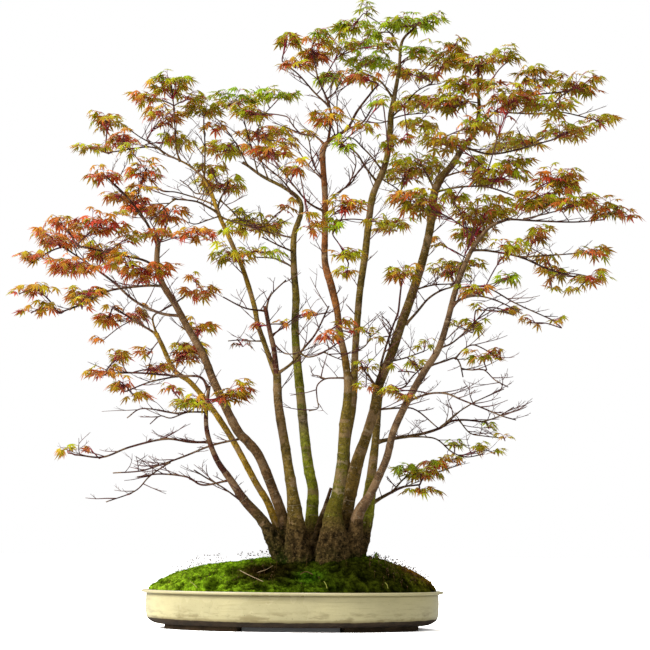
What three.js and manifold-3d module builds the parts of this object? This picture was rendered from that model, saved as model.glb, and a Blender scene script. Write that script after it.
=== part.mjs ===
// Japanese maple bonsai, clump style, in a shallow oval pot with a mossy mound of soil.
// Millimetres, +Z up, the front of the pot towards -Y. The origin is under the middle of the whole.
import * as THREE from "three";
import { mergeVertices } from "three/addons/utils/BufferGeometryUtils.js";
import Module from "manifold-3d";

const wasm = await Module();
wasm.setup();

// ---------------------------------------------------------------- driving dimensions

// Pot. An inset is the distance inwards from the rim's outer oval.
const RIM_HALF_LENGTH = 215;
const RIM_HALF_WIDTH = 155;
const POT_HEIGHT = 54;
const FOOT_HEIGHT = 6;
const LIP_HEIGHT = 5.5;
const LIP_OVERHANG = 6.8;
const LIP_ROUNDING = 2.5;
const RIM_INSET = 10;
const WALL = 7;
const FLOOR_TOP = 13;
const GLAZE_BOTTOM = 12;
const GLAZE_BOTTOM_INSET = 8;
const FLOOR_INSET = 24;
const FOOT_INSET = 29;
const FOOT_WALL = 13;
const FOOT_GAP_FRONT = 141;
const FOOT_GAP_END = 90;
const POT_SIDES = 28;

// Drainage: a screen over each hole, and the wire clip that holds it.
const DRAIN_PLACE = 95;
const DRAIN_RADIUS = 12;
const DRAIN_SIDES = 12;
const SCREEN_SIZE = 34;
const SCREEN_THICKNESS = 1.2;
const SCREEN_MESH = 6.5;
const SCREEN_PITCH = 9;
const CLIP_WIRE = 1.4;
const CLIP_HALF_SPAN = 9;
const CLIP_REACH = 20;

// Mound. Its height above the rim falls from the middle to the wall.
const MOUND_RISE = 46;
const MOUND_POWER = 1.8;
const MOSS_EDGE = 2;
const MOSS_THICKNESS = 6;
const MOSS_BUMP = 2.4;
const MOSS_SIDES = 28;
const SOIL_EDGE = POT_HEIGHT - 4;
const SOIL_INSET = 12.2;
const SOIL_RINGS = [0.99, 0.75, 0.5, 0.25, 0.06];
const MOSS_RINGS = [0.985, 0.9, 0.79, 0.66, 0.52, 0.38, 0.2];
const GAP = 0.35;

// Root base: an oval plug in the soil that narrows into the stems.
const ROOT_CENTRE_X = 35;
const ROOT_CENTRE_Y = -4;
const ROOT_HALF_LENGTH = 68;
const ROOT_HALF_WIDTH = 48;
const ROOT_BOTTOM = 36;
const ROOT_SHOULDER = 98;
const ROOT_TAPER = [[5, 0.93], [13, 0.8], [24, 0.62], [36, 0.4]];
const ROOT_SIDES = 20;
const ROOT_RIDGES = 5;
const ROOT_RIDGE_DEPTH = 0.06;

// Leaves and twigs.
const LEAF_LENGTH = 25;
const LEAF_HALF_THICKNESS = 0.9;
const SPUR_LENGTH = 6;
const STALK_RADIUS = 1.5;
const HUB_RADIUS = 1.3;
const PETIOLE_RADIUS = 0.5;
const PETIOLE_STEP = 3.4;
const SHORTEST_PETIOLE = 5;
const GOLDEN_ANGLE = 2.4;
const WAYS_ROUND = [
  [0, 0.05], [0.12, 0.05], [-0.12, 0.05], [0, 0.16], [0.2, -0.05], [-0.2, -0.05], [0.3, 0.1],
  [-0.3, 0.1],
];
const LEAF_SHARE = 850;
const LEAF_ATTEMPTS = 14;
const LEAF_DROOP = 9;
const HUB_DROP = 0.3;
const CUT_GAP = 0.35;
const CLEARANCE = 0.3;
const THICK_STEM_RADIUS = 15;
const THICK_BOUGH_RADIUS = 2.4;
const LEAST_TURN = 0.3;
const SIMPLIFY_STEP = 0.12;

// ---------------------------------------------------------------- the viewpoint of the traces

// Stems and leaf pads were traced on a picture of 650 by 650 pixels. The viewpoint turns a pixel and
// a depth (millimetres behind the pot's long axis) into a place on the tree.
const PICTURE_MIDDLE = 325;
const EYE_DISTANCE = 2700;
const EYE_HEIGHT = 119;
const EYE_RIGHT = 43;
const EYE_TILT = THREE.MathUtils.degToRad(6.66);
const EYE_ROLL = THREE.MathUtils.degToRad(0.5);
const FOCAL_PIXELS = 1878;
const PIXEL_SIZE = 1.44;

function at(pixelX, pixelY, depth) {
  const x = pixelX - PICTURE_MIDDLE;
  const y = pixelY - PICTURE_MIDDLE;
  const across = (x * Math.cos(EYE_ROLL) + y * Math.sin(EYE_ROLL)) / FOCAL_PIXELS;
  const down = (y * Math.cos(EYE_ROLL) - x * Math.sin(EYE_ROLL)) / FOCAL_PIXELS;
  const ahead = Math.cos(EYE_TILT) + down * Math.sin(EYE_TILT);
  const up = Math.sin(EYE_TILT) - down * Math.cos(EYE_TILT);
  const reach = (depth + EYE_DISTANCE) / ahead;
  return new THREE.Vector3(EYE_RIGHT + across * reach, depth, EYE_HEIGHT + up * reach);
}

// ---------------------------------------------------------------- traces of the tree

// A stem's points: pixel x, pixel y, depth in millimetres, width in pixels.
const STEMS = {
  red_front: [
    [284, 558, -20, 12], [264, 525, -40, 12], [245, 501, -48, 9], [230, 479, -55, 7],
    [217, 460, -60, 5.6], [208, 436, -62, 4.8], [206, 415, -60, 4.2], [209, 386, -52, 3.4],
  ],
  yellow_back: [
    [281, 556, 20, 10], [277, 528, 22, 7.5], [268, 503, 28, 7], [256, 483, 34, 6.6],
    [235, 444, 46, 6.2], [220, 420, 52, 6], [207, 402, 58, 5.6], [190, 382, 62, 5.2],
    [174, 370, 66, 5], [162, 345, 70, 4.6], [156, 333, 74, 4.2],
  ],
  brown_left: [
    [290, 558, -8, 14], [284, 522, -12, 10.5], [276, 498, -16, 10], [260, 458, -25, 9.4],
    [248, 442, -28, 9.2], [236, 428, -30, 9], [214, 382, -28, 8], [203, 354, -25, 7.5],
    [189, 330, -20, 7], [175, 304, -15, 6.6], [161, 281, -10, 6.4], [157, 262, -8, 6],
    [158, 243, -5, 5],
  ],
  olive_front: [
    [299, 562, -28, 20], [295, 515, -45, 15], [292, 490, -46, 11], [288, 465, -46, 9.6],
    [285, 445, -45, 9.2], [281, 422, -44, 9], [278, 400, -42, 8.6], [277, 374, -42, 8],
  ],
  slender_left: [
    [277, 378, -42, 6], [271, 362, -38, 5.2], [265, 345, -30, 5], [258, 325, -20, 5],
    [254, 305, -10, 5], [244, 272, 8, 4.8], [236, 253, 18, 4.6], [228, 235, 26, 4.5],
    [219, 215, 34, 4.2], [211, 192, 42, 4], [204, 178, 48, 3.6],
  ],
  stub_red: [[277, 378, -42, 6], [274, 350, -48, 5], [270, 332, -54, 4.6], [265, 306, -58, 4]],
  green_back: [
    [311, 560, 28, 18], [312, 515, 36, 13], [313, 490, 42, 11], [309, 470, 46, 10.6],
    [305, 440, 50, 10], [301, 400, 55, 9.4], [297, 360, 60, 8.6], [295, 325, 64, 7.6],
    [296, 298, 66, 7.6], [294, 270, 70, 6.6], [294, 236, 76, 6], [301, 213, 80, 5],
    [299, 199, 84, 4.2], [283, 187, 90, 3.6], [262, 176, 94, 3.2], [243, 162, 98, 2.6],
  ],
  orange_front: [
    [334, 566, -20, 30], [333, 540, -40, 26], [331, 515, -47, 18], [335, 498, -48, 14],
    [339, 480, -50, 12], [342, 455, -52, 11], [345, 425, -54, 11.5], [347, 405, -55, 9],
    [348, 385, -56, 8], [345, 358, -58, 7], [340, 335, -58, 6.6], [337, 310, -60, 6.6],
    [331, 285, -60, 7.6], [325, 262, -60, 6.6], [325, 230, -58, 6], [325, 195, -56, 6],
    [323, 165, -54, 5.6], [324, 146, -52, 5.6], [334, 140, -48, 4.6], [347, 129, -44, 4],
    [358, 110, -40, 3.6], [375, 88, -36, 2.6],
  ],
  olive_back: [
    [348, 558, 8, 16], [347, 515, 14, 12], [346, 480, 18, 10], [346, 445, 22, 8.6],
    [352, 410, 30, 8], [354, 385, 36, 7.6], [355, 355, 44, 7], [357, 325, 50, 7],
    [360, 290, 58, 7], [365, 255, 66, 7.4], [369, 220, 74, 7], [373, 195, 80, 7],
    [384, 168, 86, 6.6], [389, 145, 90, 6], [391, 115, 94, 6.4], [394, 98, 98, 5],
    [399, 70, 102, 3.6], [402, 42, 108, 3], [414, 28, 112, 2.2],
  ],
  main_right: [
    [343, 560, -20, 20], [346, 512, -20, 15], [350, 485, -20, 13], [356, 460, -20, 11.6],
    [366, 437, -20, 10.2], [374, 410, -20, 9.6], [379, 385, -18, 9.4], [391, 355, -14, 9],
    [401, 325, -10, 9], [409, 303, -6, 9], [419, 273, 0, 8.6], [427, 243, 6, 8],
    [431, 222, 10, 8.4], [434, 195, 14, 8.4], [441, 178, 16, 8], [452, 165, 20, 6.6],
    [464, 146, 26, 5.6], [475, 132, 32, 4.8], [479, 110, 36, 4], [478, 88, 40, 3.2],
    [478, 68, 44, 2.4],
  ],
  brown_right: [
    [352, 558, -36, 16], [357, 518, -40, 12], [370, 495, -48, 8.6], [379, 476, -54, 7.6],
    [387, 457, -60, 7.4], [394, 430, -66, 7], [408, 400, -72, 7], [424, 372, -78, 6.8],
    [438, 350, -82, 6.4], [447, 323, -86, 5.8], [455, 292, -90, 5.4], [466, 262, -92, 4.6],
    [475, 245, -92, 4.2], [490, 227, -90, 3.2], [508, 219, -88, 2.8],
  ],
  green_right: [
    [360, 560, 20, 30], [366, 520, 16, 18], [370, 498, 14, 12], [373, 475, 14, 8],
    [376, 450, 16, 6.6], [378, 425, 20, 5],
  ],
};

// A bough: the limb it grows from, its end's depth, its widths at start and end in pixels, and its
// points in pixels. Its first point lies on that limb, which also gives the depth there.
const BOUGHS = {
  left_low: [
    "red_front", -112, 3, 2, [[209, 442], [190, 442], [165, 439], [130, 447], [103, 457], [78, 455]],
  ],
  left_middle: ["red_front", -20, 3.4, 2, [[208, 388], [200, 377], [178, 376], [140, 373], [112, 373]]],
  left_middle_fork: ["left_middle", -55, 2.2, 1.6, [[178, 376], [150, 382], [127, 391]]],
  left_bare: ["red_front", -10, 2.6, 1.8, [[230, 480], [203, 485], [187, 477], [160, 474], [137, 477]]],
  left_lowest: ["red_front", -90, 2.2, 1.6, [[250, 508], [225, 489], [205, 477], [194, 470]]],
  yellow_left: ["yellow_back", 110, 3.6, 2, [[157, 335], [150, 330], [133, 320], [117, 309]]],
  yellow_up: ["yellow_back", 50, 2.6, 1.6, [[156, 333], [153, 317], [165, 309], [182, 298]]],
  brown_top_left: [
    "brown_left", -60, 4, 2, [[158, 245], [152, 233], [143, 217], [127, 197], [115, 185], [101, 172]],
  ],
  brown_top_right: ["brown_left", 30, 3.4, 2, [[158, 245], [163, 236], [167, 222]]],
  brown_out_low: [
    "brown_left", 90, 4, 2.2, [[182, 316], [160, 313], [135, 301], [112, 281], [90, 265], [68, 250]],
  ],
  brown_out_front: ["brown_left", -110, 3.4, 2, [[164, 286], [143, 286], [108, 291], [85, 303], [64, 311]]],
  brown_out_high: ["brown_left", -60, 3.4, 2, [[157, 268], [143, 260], [115, 254], [84, 247]]],
  brown_bare: [
    "brown_left", 30, 2.8, 1.6, [[244, 438], [213, 445], [185, 456], [160, 465], [140, 471], [113, 473]],
  ],
  brown_bare_fork: ["brown_bare", -30, 2, 1.4, [[170, 462], [150, 476], [135, 491], [106, 502]]],
  slender_fork: ["slender_left", 70, 3, 1.8, [[217, 209], [221, 198], [228, 184]]],
  slender_out: ["slender_left", 120, 3, 1.8, [[204, 179], [190, 166], [170, 156], [150, 147], [112, 152]]],
  slender_up: ["slender_out", 20, 2.4, 1.6, [[180, 161], [176, 148], [175, 130], [174, 112]]],
  slender_top: ["slender_left", 90, 2.4, 1.6, [[204, 179], [205, 150], [204, 126]]],
  stub_left: ["stub_red", -90, 2.4, 1.6, [[266, 311], [245, 308], [223, 297]]],
  stub_right: ["stub_red", -75, 2.4, 1.6, [[266, 309], [271, 295], [286, 280]]],
  red_right: ["olive_front", -100, 4, 1.8, [[277, 374], [292, 363], [304, 348], [316, 333], [329, 306]]],
  green_mid: ["green_back", 30, 2.6, 1.6, [[294, 252], [280, 246], [262, 237]]],
  green_high: ["green_back", 130, 2.4, 1.6, [[294, 238], [275, 234], [254, 228]]],
  green_low: ["green_back", 110, 2.4, 1.6, [[294, 268], [277, 259], [254, 257]]],
  orange_right: ["orange_front", -80, 2.6, 1.6, [[347, 129], [362, 123], [372, 108], [377, 99]]],
  orange_up: ["orange_front", -30, 3.4, 1.8, [[328, 143], [331, 115], [326, 97], [318, 78], [313, 54]]],
  orange_up_fork: ["orange_up", 20, 2, 1.4, [[327, 99], [335, 92], [340, 82]]],
  orange_out: ["orange_up", -90, 2.6, 1.6, [[329, 106], [315, 93], [300, 76], [287, 65]]],
  orange_red: ["orange_front", -110, 2.8, 1.8, [[325, 212], [309, 203], [295, 187], [280, 168]]],
  olive_left: ["olive_back", 60, 3, 1.8, [[393, 98], [380, 81], [362, 72], [345, 60]]],
  olive_top_left: ["olive_back", 150, 2, 1.4, [[401, 56], [394, 38], [380, 24], [368, 16]]],
  olive_right: ["olive_back", 140, 2.4, 1.6, [[391, 118], [405, 104], [416, 92], [428, 85]]],
  main_left_top: ["main_right", 60, 3, 1.8, [[435, 190], [423, 168], [414, 160]]],
  main_high: ["main_right", -40, 2.6, 1.6, [[441, 178], [460, 172], [482, 171]]],
  main_out: ["main_right", -90, 3, 1.8, [[435, 192], [460, 187], [487, 187], [518, 197]]],
  main_short: ["main_right", 60, 2.4, 1.6, [[414, 290], [433, 285], [450, 284]]],
  main_front: ["main_right", -60, 2, 1.4, [[404, 315], [420, 310], [440, 296]]],
  main_low: ["main_right", 40, 2.2, 1.5, [[388, 362], [405, 358], [422, 352]]],
  main_lower: ["main_right", -70, 2.2, 1.5, [[378, 390], [402, 388], [413, 376], [422, 368]]],
  main_lowest: ["main_right", -20, 2.6, 1.5, [[374, 410], [400, 408], [416, 410], [438, 428]]],
  main_side: ["main_right", -60, 3.4, 2.2, [[377, 396], [381, 365], [388, 340], [396, 318]]],
  top_out: ["main_right", 90, 3.2, 1.8, [[464, 147], [490, 154], [520, 149], [548, 141]]],
  top_right: ["main_right", 30, 3, 1.8, [[476, 130], [500, 108], [530, 96], [562, 92]]],
  top_far: ["top_right", 130, 2.2, 1.6, [[496, 112], [540, 114], [560, 112], [592, 119]]],
  right_low: ["brown_right", -130, 2.6, 1.5, [[408, 400], [430, 394], [455, 397], [485, 410], [512, 419]]],
  right_mid: ["brown_right", -40, 2.2, 1.5, [[428, 366], [445, 361], [458, 361], [463, 376]]],
  right_mid_fork: ["right_mid", -90, 1.8, 1.4, [[456, 361], [470, 350], [485, 354]]],
  right_mid_low: ["right_mid", -120, 1.6, 1.3, [[462, 370], [480, 370], [494, 380], [509, 387]]],
  right_high: ["brown_right", -20, 2.4, 1.6, [[440, 348], [452, 343], [467, 330], [484, 312]]],
  right_red: ["brown_right", -140, 2, 1.4, [[452, 304], [467, 296], [478, 294]]],
  right_fine: ["brown_right", -60, 2.2, 1.5, [[456, 288], [485, 287], [515, 303], [548, 318]]],
  right_out: ["brown_right", -20, 3, 1.8, [[472, 250], [490, 251], [520, 257], [548, 269], [582, 279]]],
  right_out_fork: ["right_out", -120, 2, 1.5, [[520, 257], [555, 255], [580, 253]]],
  right_tip: ["brown_right", -60, 2.6, 1.6, [[508, 219], [540, 221], [575, 222], [600, 220]]],
  right_tip_fork: ["right_tip", -150, 1.8, 1.4, [[524, 219], [545, 214], [564, 209]]],
  green_far: ["green_right", 110, 4, 1.6, [[377, 443], [392, 437], [420, 435], [440, 427], [466, 420], [484, 424]]],
  green_base: ["green_right", 60, 3, 1.6, [[371, 497], [383, 497], [400, 487], [417, 485]]],
  green_base_fork: ["green_base", 120, 2.4, 1.5, [[392, 492], [408, 476], [430, 474], [456, 466]]],
};

// A spray's leaf pads: pixel x and y of the middle, half width and half height in pixels, depth, tint.
const SPRAYS = [
  [[66, 453, 14, 8, -114, "red"]],
  [[100, 373, 20, 9, -20, "red"], [122, 384, 10, 8, -60, "red"], [136, 396, 10, 7, -30, "orange"]],
  [[117, 357, 12, 9, 30, "orange"], [148, 353, 9, 7, 70, "red"], [160, 368, 16, 7, 5, "red"]],
  [[187, 350, 17, 17, 100, "orange"], [200, 325, 16, 9, 130, "orange"]],
  [[236, 390, 16, 14, -95, "orange"], [194, 405, 18, 10, -110, "gold"], [172, 389, 8, 5, -90, "orange"]],
  [[30, 256, 19, 9, 60, "red"], [60, 240, 24, 14, 110, "red"]],
  [[72, 266, 26, 13, 40, "red"], [102, 250, 18, 12, -10, "orange"]],
  [[100, 222, 28, 13, -100, "red"], [62, 222, 14, 8, -60, "red"]],
  [[148, 271, 26, 13, -70, "red"], [125, 262, 12, 9, -110, "orange"]],
  [[34, 290, 22, 9, -150, "red"], [50, 307, 13, 8, -120, "orange"], [26, 313, 8, 5, -140, "red"]],
  [[86, 293, 20, 10, -60, "orange"], [82, 307, 8, 8, -90, "red"]],
  [[108, 315, 12, 16, 120, "orange"], [134, 314, 13, 12, 150, "red"], [100, 341, 5, 6, 110, "red"]],
  [
    [117, 199, 13, 8, -20, "red"], [100, 174, 19, 11, -70, "red"], [141, 203, 17, 15, 60, "red"],
    [145, 170, 16, 13, 40, "orange"],
  ],
  [[167, 215, 17, 14, 20, "red"], [157, 233, 12, 8, -60, "orange"], [197, 236, 19, 9, -110, "red"]],
  [[200, 292, 21, 8, 50, "red"], [193, 279, 7, 5, 80, "orange"]],
  [
    [131, 150, 13, 5, 70, "olive"], [122, 136, 14, 11, 80, "orange"], [107, 118, 17, 10, 150, "olive"],
    [90, 147, 18, 6, 120, "olive"],
  ],
  [[148, 97, 16, 9, -40, "orange"], [172, 86, 20, 13, 0, "olive"]],
  [[163, 114, 22, 10, 70, "orange"], [172, 140, 19, 9, 110, "olive"]],
  [[205, 107, 23, 12, 60, "olive"], [238, 98, 28, 9, 110, "green"], [280, 96, 20, 8, 60, "green"]],
  [[263, 132, 30, 10, 120, "orange"], [225, 148, 24, 11, 150, "olive"]],
  [[268, 151, 21, 10, -60, "orange"], [250, 113, 21, 9, -10, "gold"]],
  [[222, 183, 26, 10, 90, "gold"], [212, 167, 17, 6, 120, "gold"]],
  [[235, 254, 26, 10, -20, "olive"], [272, 252, 9, 5, -50, "green"]],
  [[258, 225, 30, 12, 150, "olive"], [287, 205, 12, 5, 130, "orange"]],
  [[296, 168, 11, 10, -120, "orange"], [310, 226, 10, 9, -130, "orange"]],
  [[330, 331, 14, 12, -115, "red"]],
  [[283, 35, 14, 12, -90, "olive"], [290, 66, 20, 10, -110, "orange"]],
  [[315, 48, 14, 19, -20, "orange"], [330, 76, 14, 10, 40, "green"]],
  [[352, 27, 18, 12, 160, "green"], [367, 9, 9, 7, 140, "green"]],
  [[370, 60, 26, 9, 40, "green"], [360, 77, 20, 9, -30, "red"]],
  [[407, 22, 29, 11, 110, "green"], [420, 49, 14, 9, 60, "green"]],
  [[448, 55, 19, 18, 150, "olive"], [402, 70, 10, 13, 180, "orange"]],
  [
    [328, 118, 17, 11, -70, "orange"], [343, 144, 9, 8, -90, "green"], [360, 126, 14, 5, -110, "orange"],
    [378, 105, 8, 9, -130, "green"], [388, 141, 8, 9, -100, "orange"],
  ],
  [[420, 99, 18, 10, 190, "gold"], [418, 123, 21, 8, 170, "gold"]],
  [[452, 98, 25, 16, 20, "olive"], [478, 62, 20, 12, 60, "orange"], [504, 58, 16, 10, 10, "olive"]],
  [[512, 95, 28, 16, -60, "red"], [533, 71, 16, 10, 0, "orange"]],
  [[578, 84, 26, 13, 60, "orange"], [550, 106, 26, 11, -20, "olive"]],
  [[600, 121, 19, 7, 140, "orange"], [566, 130, 29, 11, 100, "olive"], [517, 141, 25, 13, 150, "gold"]],
  [[447, 139, 29, 11, -80, "gold"], [477, 124, 20, 10, -120, "orange"]],
  [[413, 166, 34, 16, 100, "olive"], [391, 226, 20, 12, 140, "olive"]],
  [[498, 174, 32, 13, -60, "orange"], [557, 175, 25, 13, -110, "red"]],
  [[420, 200, 27, 15, -90, "orange"], [403, 271, 14, 11, -90, "orange"]],
  [[485, 208, 32, 18, 80, "gold"], [470, 232, 19, 16, 120, "olive"], [449, 268, 20, 12, 100, "gold"]],
  [[537, 199, 21, 15, -130, "red"], [576, 202, 19, 12, -160, "red"], [508, 248, 19, 8, -150, "orange"]],
  [[616, 209, 21, 17, -80, "red"], [538, 232, 16, 8, -40, "orange"]],
  [[592, 278, 19, 11, -20, "red"], [554, 272, 13, 10, 40, "orange"], [592, 252, 16, 8, -120, "red"]],
  [[347, 204, 20, 9, -120, "orange"], [336, 225, 8, 12, -110, "green"], [346, 256, 14, 7, -110, "olive"]],
  [[501, 313, 15, 8, 10, "red"], [467, 326, 19, 6, 50, "orange"], [475, 290, 12, 6, -140, "red"]],
  [[556, 324, 10, 9, -60, "orange"], [530, 321, 8, 8, -20, "red"], [514, 278, 11, 8, -90, "green"]],
  [[487, 358, 17, 10, -90, "orange"], [425, 346, 9, 5, 50, "orange"]],
  [[385, 378, 24, 19, -120, "olive"]],
  [[427, 471, 29, 17, 70, "olive"], [480, 452, 16, 8, 120, "olive"], [494, 434, 13, 11, 110, "green"]],
];

// ---------------------------------------------------------------- small tools

const UP = new THREE.Vector3(0, 0, 1);

// Repeatable random numbers from 0 to 1.
function dice(seed) {
  let state = Math.imul(seed, 2654435761) >>> 0;
  const draw = () => {
    state = (Math.imul(state, 1664525) + 1013904223) >>> 0;
    return state / 2 ** 32;
  };
  draw();
  return draw;
}

function solid(geometry) {
  const bare = geometry.clone();
  bare.deleteAttribute("normal");
  bare.deleteAttribute("uv");
  const merged = mergeVertices(bare, 1e-5);
  return new wasm.Manifold(new wasm.Mesh({
    numProp: 3,
    vertProperties: merged.attributes.position.array,
    triVerts: Uint32Array.from(merged.index.array),
  }));
}

function join(solids) {
  return solids.reduce((whole, piece) => whole.add(piece));
}

function box(length, width, height, x, y, z) {
  return solid(new THREE.BoxGeometry(length, width, height).translate(x, y, z));
}

function finish(colour, roughness) {
  return new THREE.MeshStandardMaterial({ color: colour, roughness, metalness: 0 });
}

function meshOf(name, body, material) {
  const { vertProperties, triVerts } = body.simplify(SIMPLIFY_STEP).getMesh();
  const geometry = new THREE.BufferGeometry();
  geometry.setAttribute("position", new THREE.BufferAttribute(vertProperties, 3));
  geometry.setIndex(new THREE.BufferAttribute(triVerts, 1));
  geometry.computeVertexNormals();
  const mesh = new THREE.Mesh(geometry, material);
  mesh.name = name;
  return mesh;
}

// A closed solid stacked from ovals. A level is its height, its inset from the oval and its share of
// it, where the height and the share may be functions of the place on the unit circle.
function ovalStack(levels, sides, oval) {
  const last = levels.length - 1;
  const shape = new THREE.CylinderGeometry(1, 1, last, sides, last).rotateX(Math.PI / 2);
  const places = shape.attributes.position;
  const value = (number, x, y) => (typeof number === "function" ? number(x, y) : number);
  for (let i = 0; i < places.count; i += 1) {
    const [height, inset, share = 1] = levels[Math.round(places.getZ(i) + last / 2)];
    const scale = value(share, places.getX(i), places.getY(i));
    const x = oval.x + places.getX(i) * scale * (oval.halfLength - inset);
    const y = oval.y + places.getY(i) * scale * (oval.halfWidth - inset);
    places.setXYZ(i, x, y, value(height, x, y));
  }
  return solid(shape);
}

// A closed tube of rings that follow a smooth curve and its changing radius.
function limb(points, radii, sides, steps) {
  const curve = new THREE.CatmullRomCurve3(points, false, "catmullrom", 0.5);
  const shape = new THREE.CylinderGeometry(1, 1, steps, sides, steps);
  const places = shape.attributes.position;
  const rings = [];
  const isSteep = Math.abs(curve.getTangent(0).x) < 0.8;
  let side = isSteep ? new THREE.Vector3(1, 0, 0) : new THREE.Vector3(0, 1, 0);
  for (let i = 0; i <= steps; i += 1) {
    const along = curve.getTangent(i / steps);
    side = side.clone().addScaledVector(along, -side.dot(along)).normalize();
    const spot = (i / steps) * (radii.length - 1);
    const low = Math.min(Math.floor(spot), radii.length - 2);
    rings.push({
      centre: curve.getPoint(i / steps),
      side,
      front: new THREE.Vector3().crossVectors(side, along),
      radius: THREE.MathUtils.lerp(radii[low], radii[low + 1], spot - low),
    });
  }
  for (let i = 0; i < places.count; i += 1) {
    const ring = rings[Math.round(places.getY(i) + steps / 2)];
    const point = ring.centre.clone()
      .addScaledVector(ring.side, places.getX(i) * ring.radius)
      .addScaledVector(ring.front, places.getZ(i) * ring.radius);
    places.setXYZ(i, point.x, point.y, point.z);
  }
  return solid(shape);
}

// ---------------------------------------------------------------- pot, drainage, soil and moss

const POT_OVAL = { x: 0, y: 0, halfLength: RIM_HALF_LENGTH, halfWidth: RIM_HALF_WIDTH };
const ROOT_OVAL = {
  x: ROOT_CENTRE_X, y: ROOT_CENTRE_Y, halfLength: ROOT_HALF_LENGTH, halfWidth: ROOT_HALF_WIDTH,
};

// Height and inset of the pot's outer and inner surface, from the floor up.
const OUTER_LEVELS = [
  [FOOT_HEIGHT, FLOOR_INSET - 5],
  [GLAZE_BOTTOM - 3, GLAZE_BOTTOM_INSET + 2.5],
  [GLAZE_BOTTOM, GLAZE_BOTTOM_INSET],
  [POT_HEIGHT - LIP_HEIGHT, LIP_OVERHANG],
  [POT_HEIGHT - LIP_HEIGHT + 1, 1],
  [POT_HEIGHT - LIP_ROUNDING, 0],
  [POT_HEIGHT, LIP_ROUNDING],
];
const INNER_LEVELS = [
  [FLOOR_TOP, FLOOR_INSET],
  [FLOOR_TOP + 7, LIP_OVERHANG + WALL + 3],
  [POT_HEIGHT - 10, LIP_OVERHANG + WALL],
  [POT_HEIGHT + 1, RIM_INSET],
];

function foot() {
  const outside = [[0, FOOT_INSET], [FOOT_HEIGHT + 1, FOOT_INSET - 3]];
  const inside = [[-1, FOOT_INSET + FOOT_WALL], [FOOT_HEIGHT + 2, FOOT_INSET + FOOT_WALL]];
  const ring = ovalStack(outside, POT_SIDES, POT_OVAL).subtract(ovalStack(inside, POT_SIDES, POT_OVAL));
  const frontGap = box(FOOT_GAP_FRONT, 2 * RIM_HALF_WIDTH, 2 * FOOT_HEIGHT, 0, 0, 0);
  const endGap = box(2 * RIM_HALF_LENGTH, FOOT_GAP_END, 2 * FOOT_HEIGHT, 0, 0, 0);
  return ring.subtract(frontGap).subtract(endGap);
}

function drain(x) {
  const hole = new THREE.CylinderGeometry(DRAIN_RADIUS, DRAIN_RADIUS, 3 * FLOOR_TOP, DRAIN_SIDES);
  return solid(hole.rotateX(Math.PI / 2).translate(x, 0, 0));
}

function pot() {
  const outside = ovalStack(OUTER_LEVELS, POT_SIDES, POT_OVAL);
  const body = outside.subtract(ovalStack(INNER_LEVELS, POT_SIDES, POT_OVAL)).add(foot());
  return body.subtract(drain(-DRAIN_PLACE)).subtract(drain(DRAIN_PLACE));
}

function screen(x) {
  const z = FLOOR_TOP + GAP + SCREEN_THICKNESS / 2;
  let plate = box(SCREEN_SIZE, SCREEN_SIZE, SCREEN_THICKNESS, x, 0, z);
  for (const row of [-1, 0, 1]) {
    for (const column of [-1, 0, 1]) {
      const holeX = x + column * SCREEN_PITCH;
      const hole = box(SCREEN_MESH, SCREEN_MESH, 2 * SCREEN_THICKNESS, holeX, row * SCREEN_PITCH, z);
      plate = plate.subtract(hole);
    }
  }
  return plate;
}

const CLIP_TOP = FLOOR_TOP + 2 * GAP + SCREEN_THICKNESS + CLIP_WIRE / 2;

// The wire goes over the screen, down through its mesh and the hole, and out under the floor.
function clip(x) {
  const under = FOOT_HEIGHT - GAP - CLIP_WIRE / 2;
  const half = [[0, CLIP_TOP], [CLIP_HALF_SPAN - 1, CLIP_TOP], [CLIP_HALF_SPAN, CLIP_TOP - 1.5],
    [CLIP_HALF_SPAN, under + 2], [CLIP_HALF_SPAN + 2, under], [CLIP_REACH, under]];
  const left = half.slice(1).reverse().map(([out, z]) => [-out, z]);
  const points = [...left, ...half].map(([out, z]) => new THREE.Vector3(x + out, 0, z));
  return limb(points, [CLIP_WIRE / 2, CLIP_WIRE / 2], 5, points.length - 1);
}

// The mound's plain height at a place, without bumps: highest in the middle, and falling to the wall.
function moundHeight(x, y) {
  const share = Math.hypot(x / (RIM_HALF_LENGTH - RIM_INSET), y / (RIM_HALF_WIDTH - RIM_INSET));
  return POT_HEIGHT + MOSS_EDGE + (MOUND_RISE - MOSS_EDGE) * (1 - Math.min(share, 1) ** MOUND_POWER);
}

function soilHeight(x, y) {
  return moundHeight(x, y) - MOSS_THICKNESS;
}

function mossHeight(x, y) {
  const bumps = Math.sin(x / 15 + 1) * Math.cos(y / 12) + 0.6 * Math.sin(x / 7 - y / 9);
  return moundHeight(x, y) + MOSS_BUMP * 0.6 * bumps;
}

function rootHole() {
  return ovalStack([[ROOT_BOTTOM - GAP, -GAP], [2 * POT_HEIGHT + MOUND_RISE, -GAP]], ROOT_SIDES, ROOT_OVAL);
}

// The hollow in the soil over a screen and its clip.
function pocket(x) {
  const size = SCREEN_SIZE + 2 * GAP;
  const height = CLIP_TOP + CLIP_WIRE - FLOOR_TOP;
  return box(size, size, height, x, 0, FLOOR_TOP + height / 2);
}

function soil() {
  const wall = INNER_LEVELS.slice(0, -1).map(([height, inset]) => [height, inset + GAP]);
  wall[0][0] += GAP;
  const levels = [...wall, [SOIL_EDGE, SOIL_INSET]];
  for (const share of SOIL_RINGS) {
    levels.push([soilHeight, SOIL_INSET, share]);
  }
  return ovalStack(levels, POT_SIDES, POT_OVAL)
    .subtract(rootHole()).subtract(pocket(-DRAIN_PLACE)).subtract(pocket(DRAIN_PLACE));
}

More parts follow.
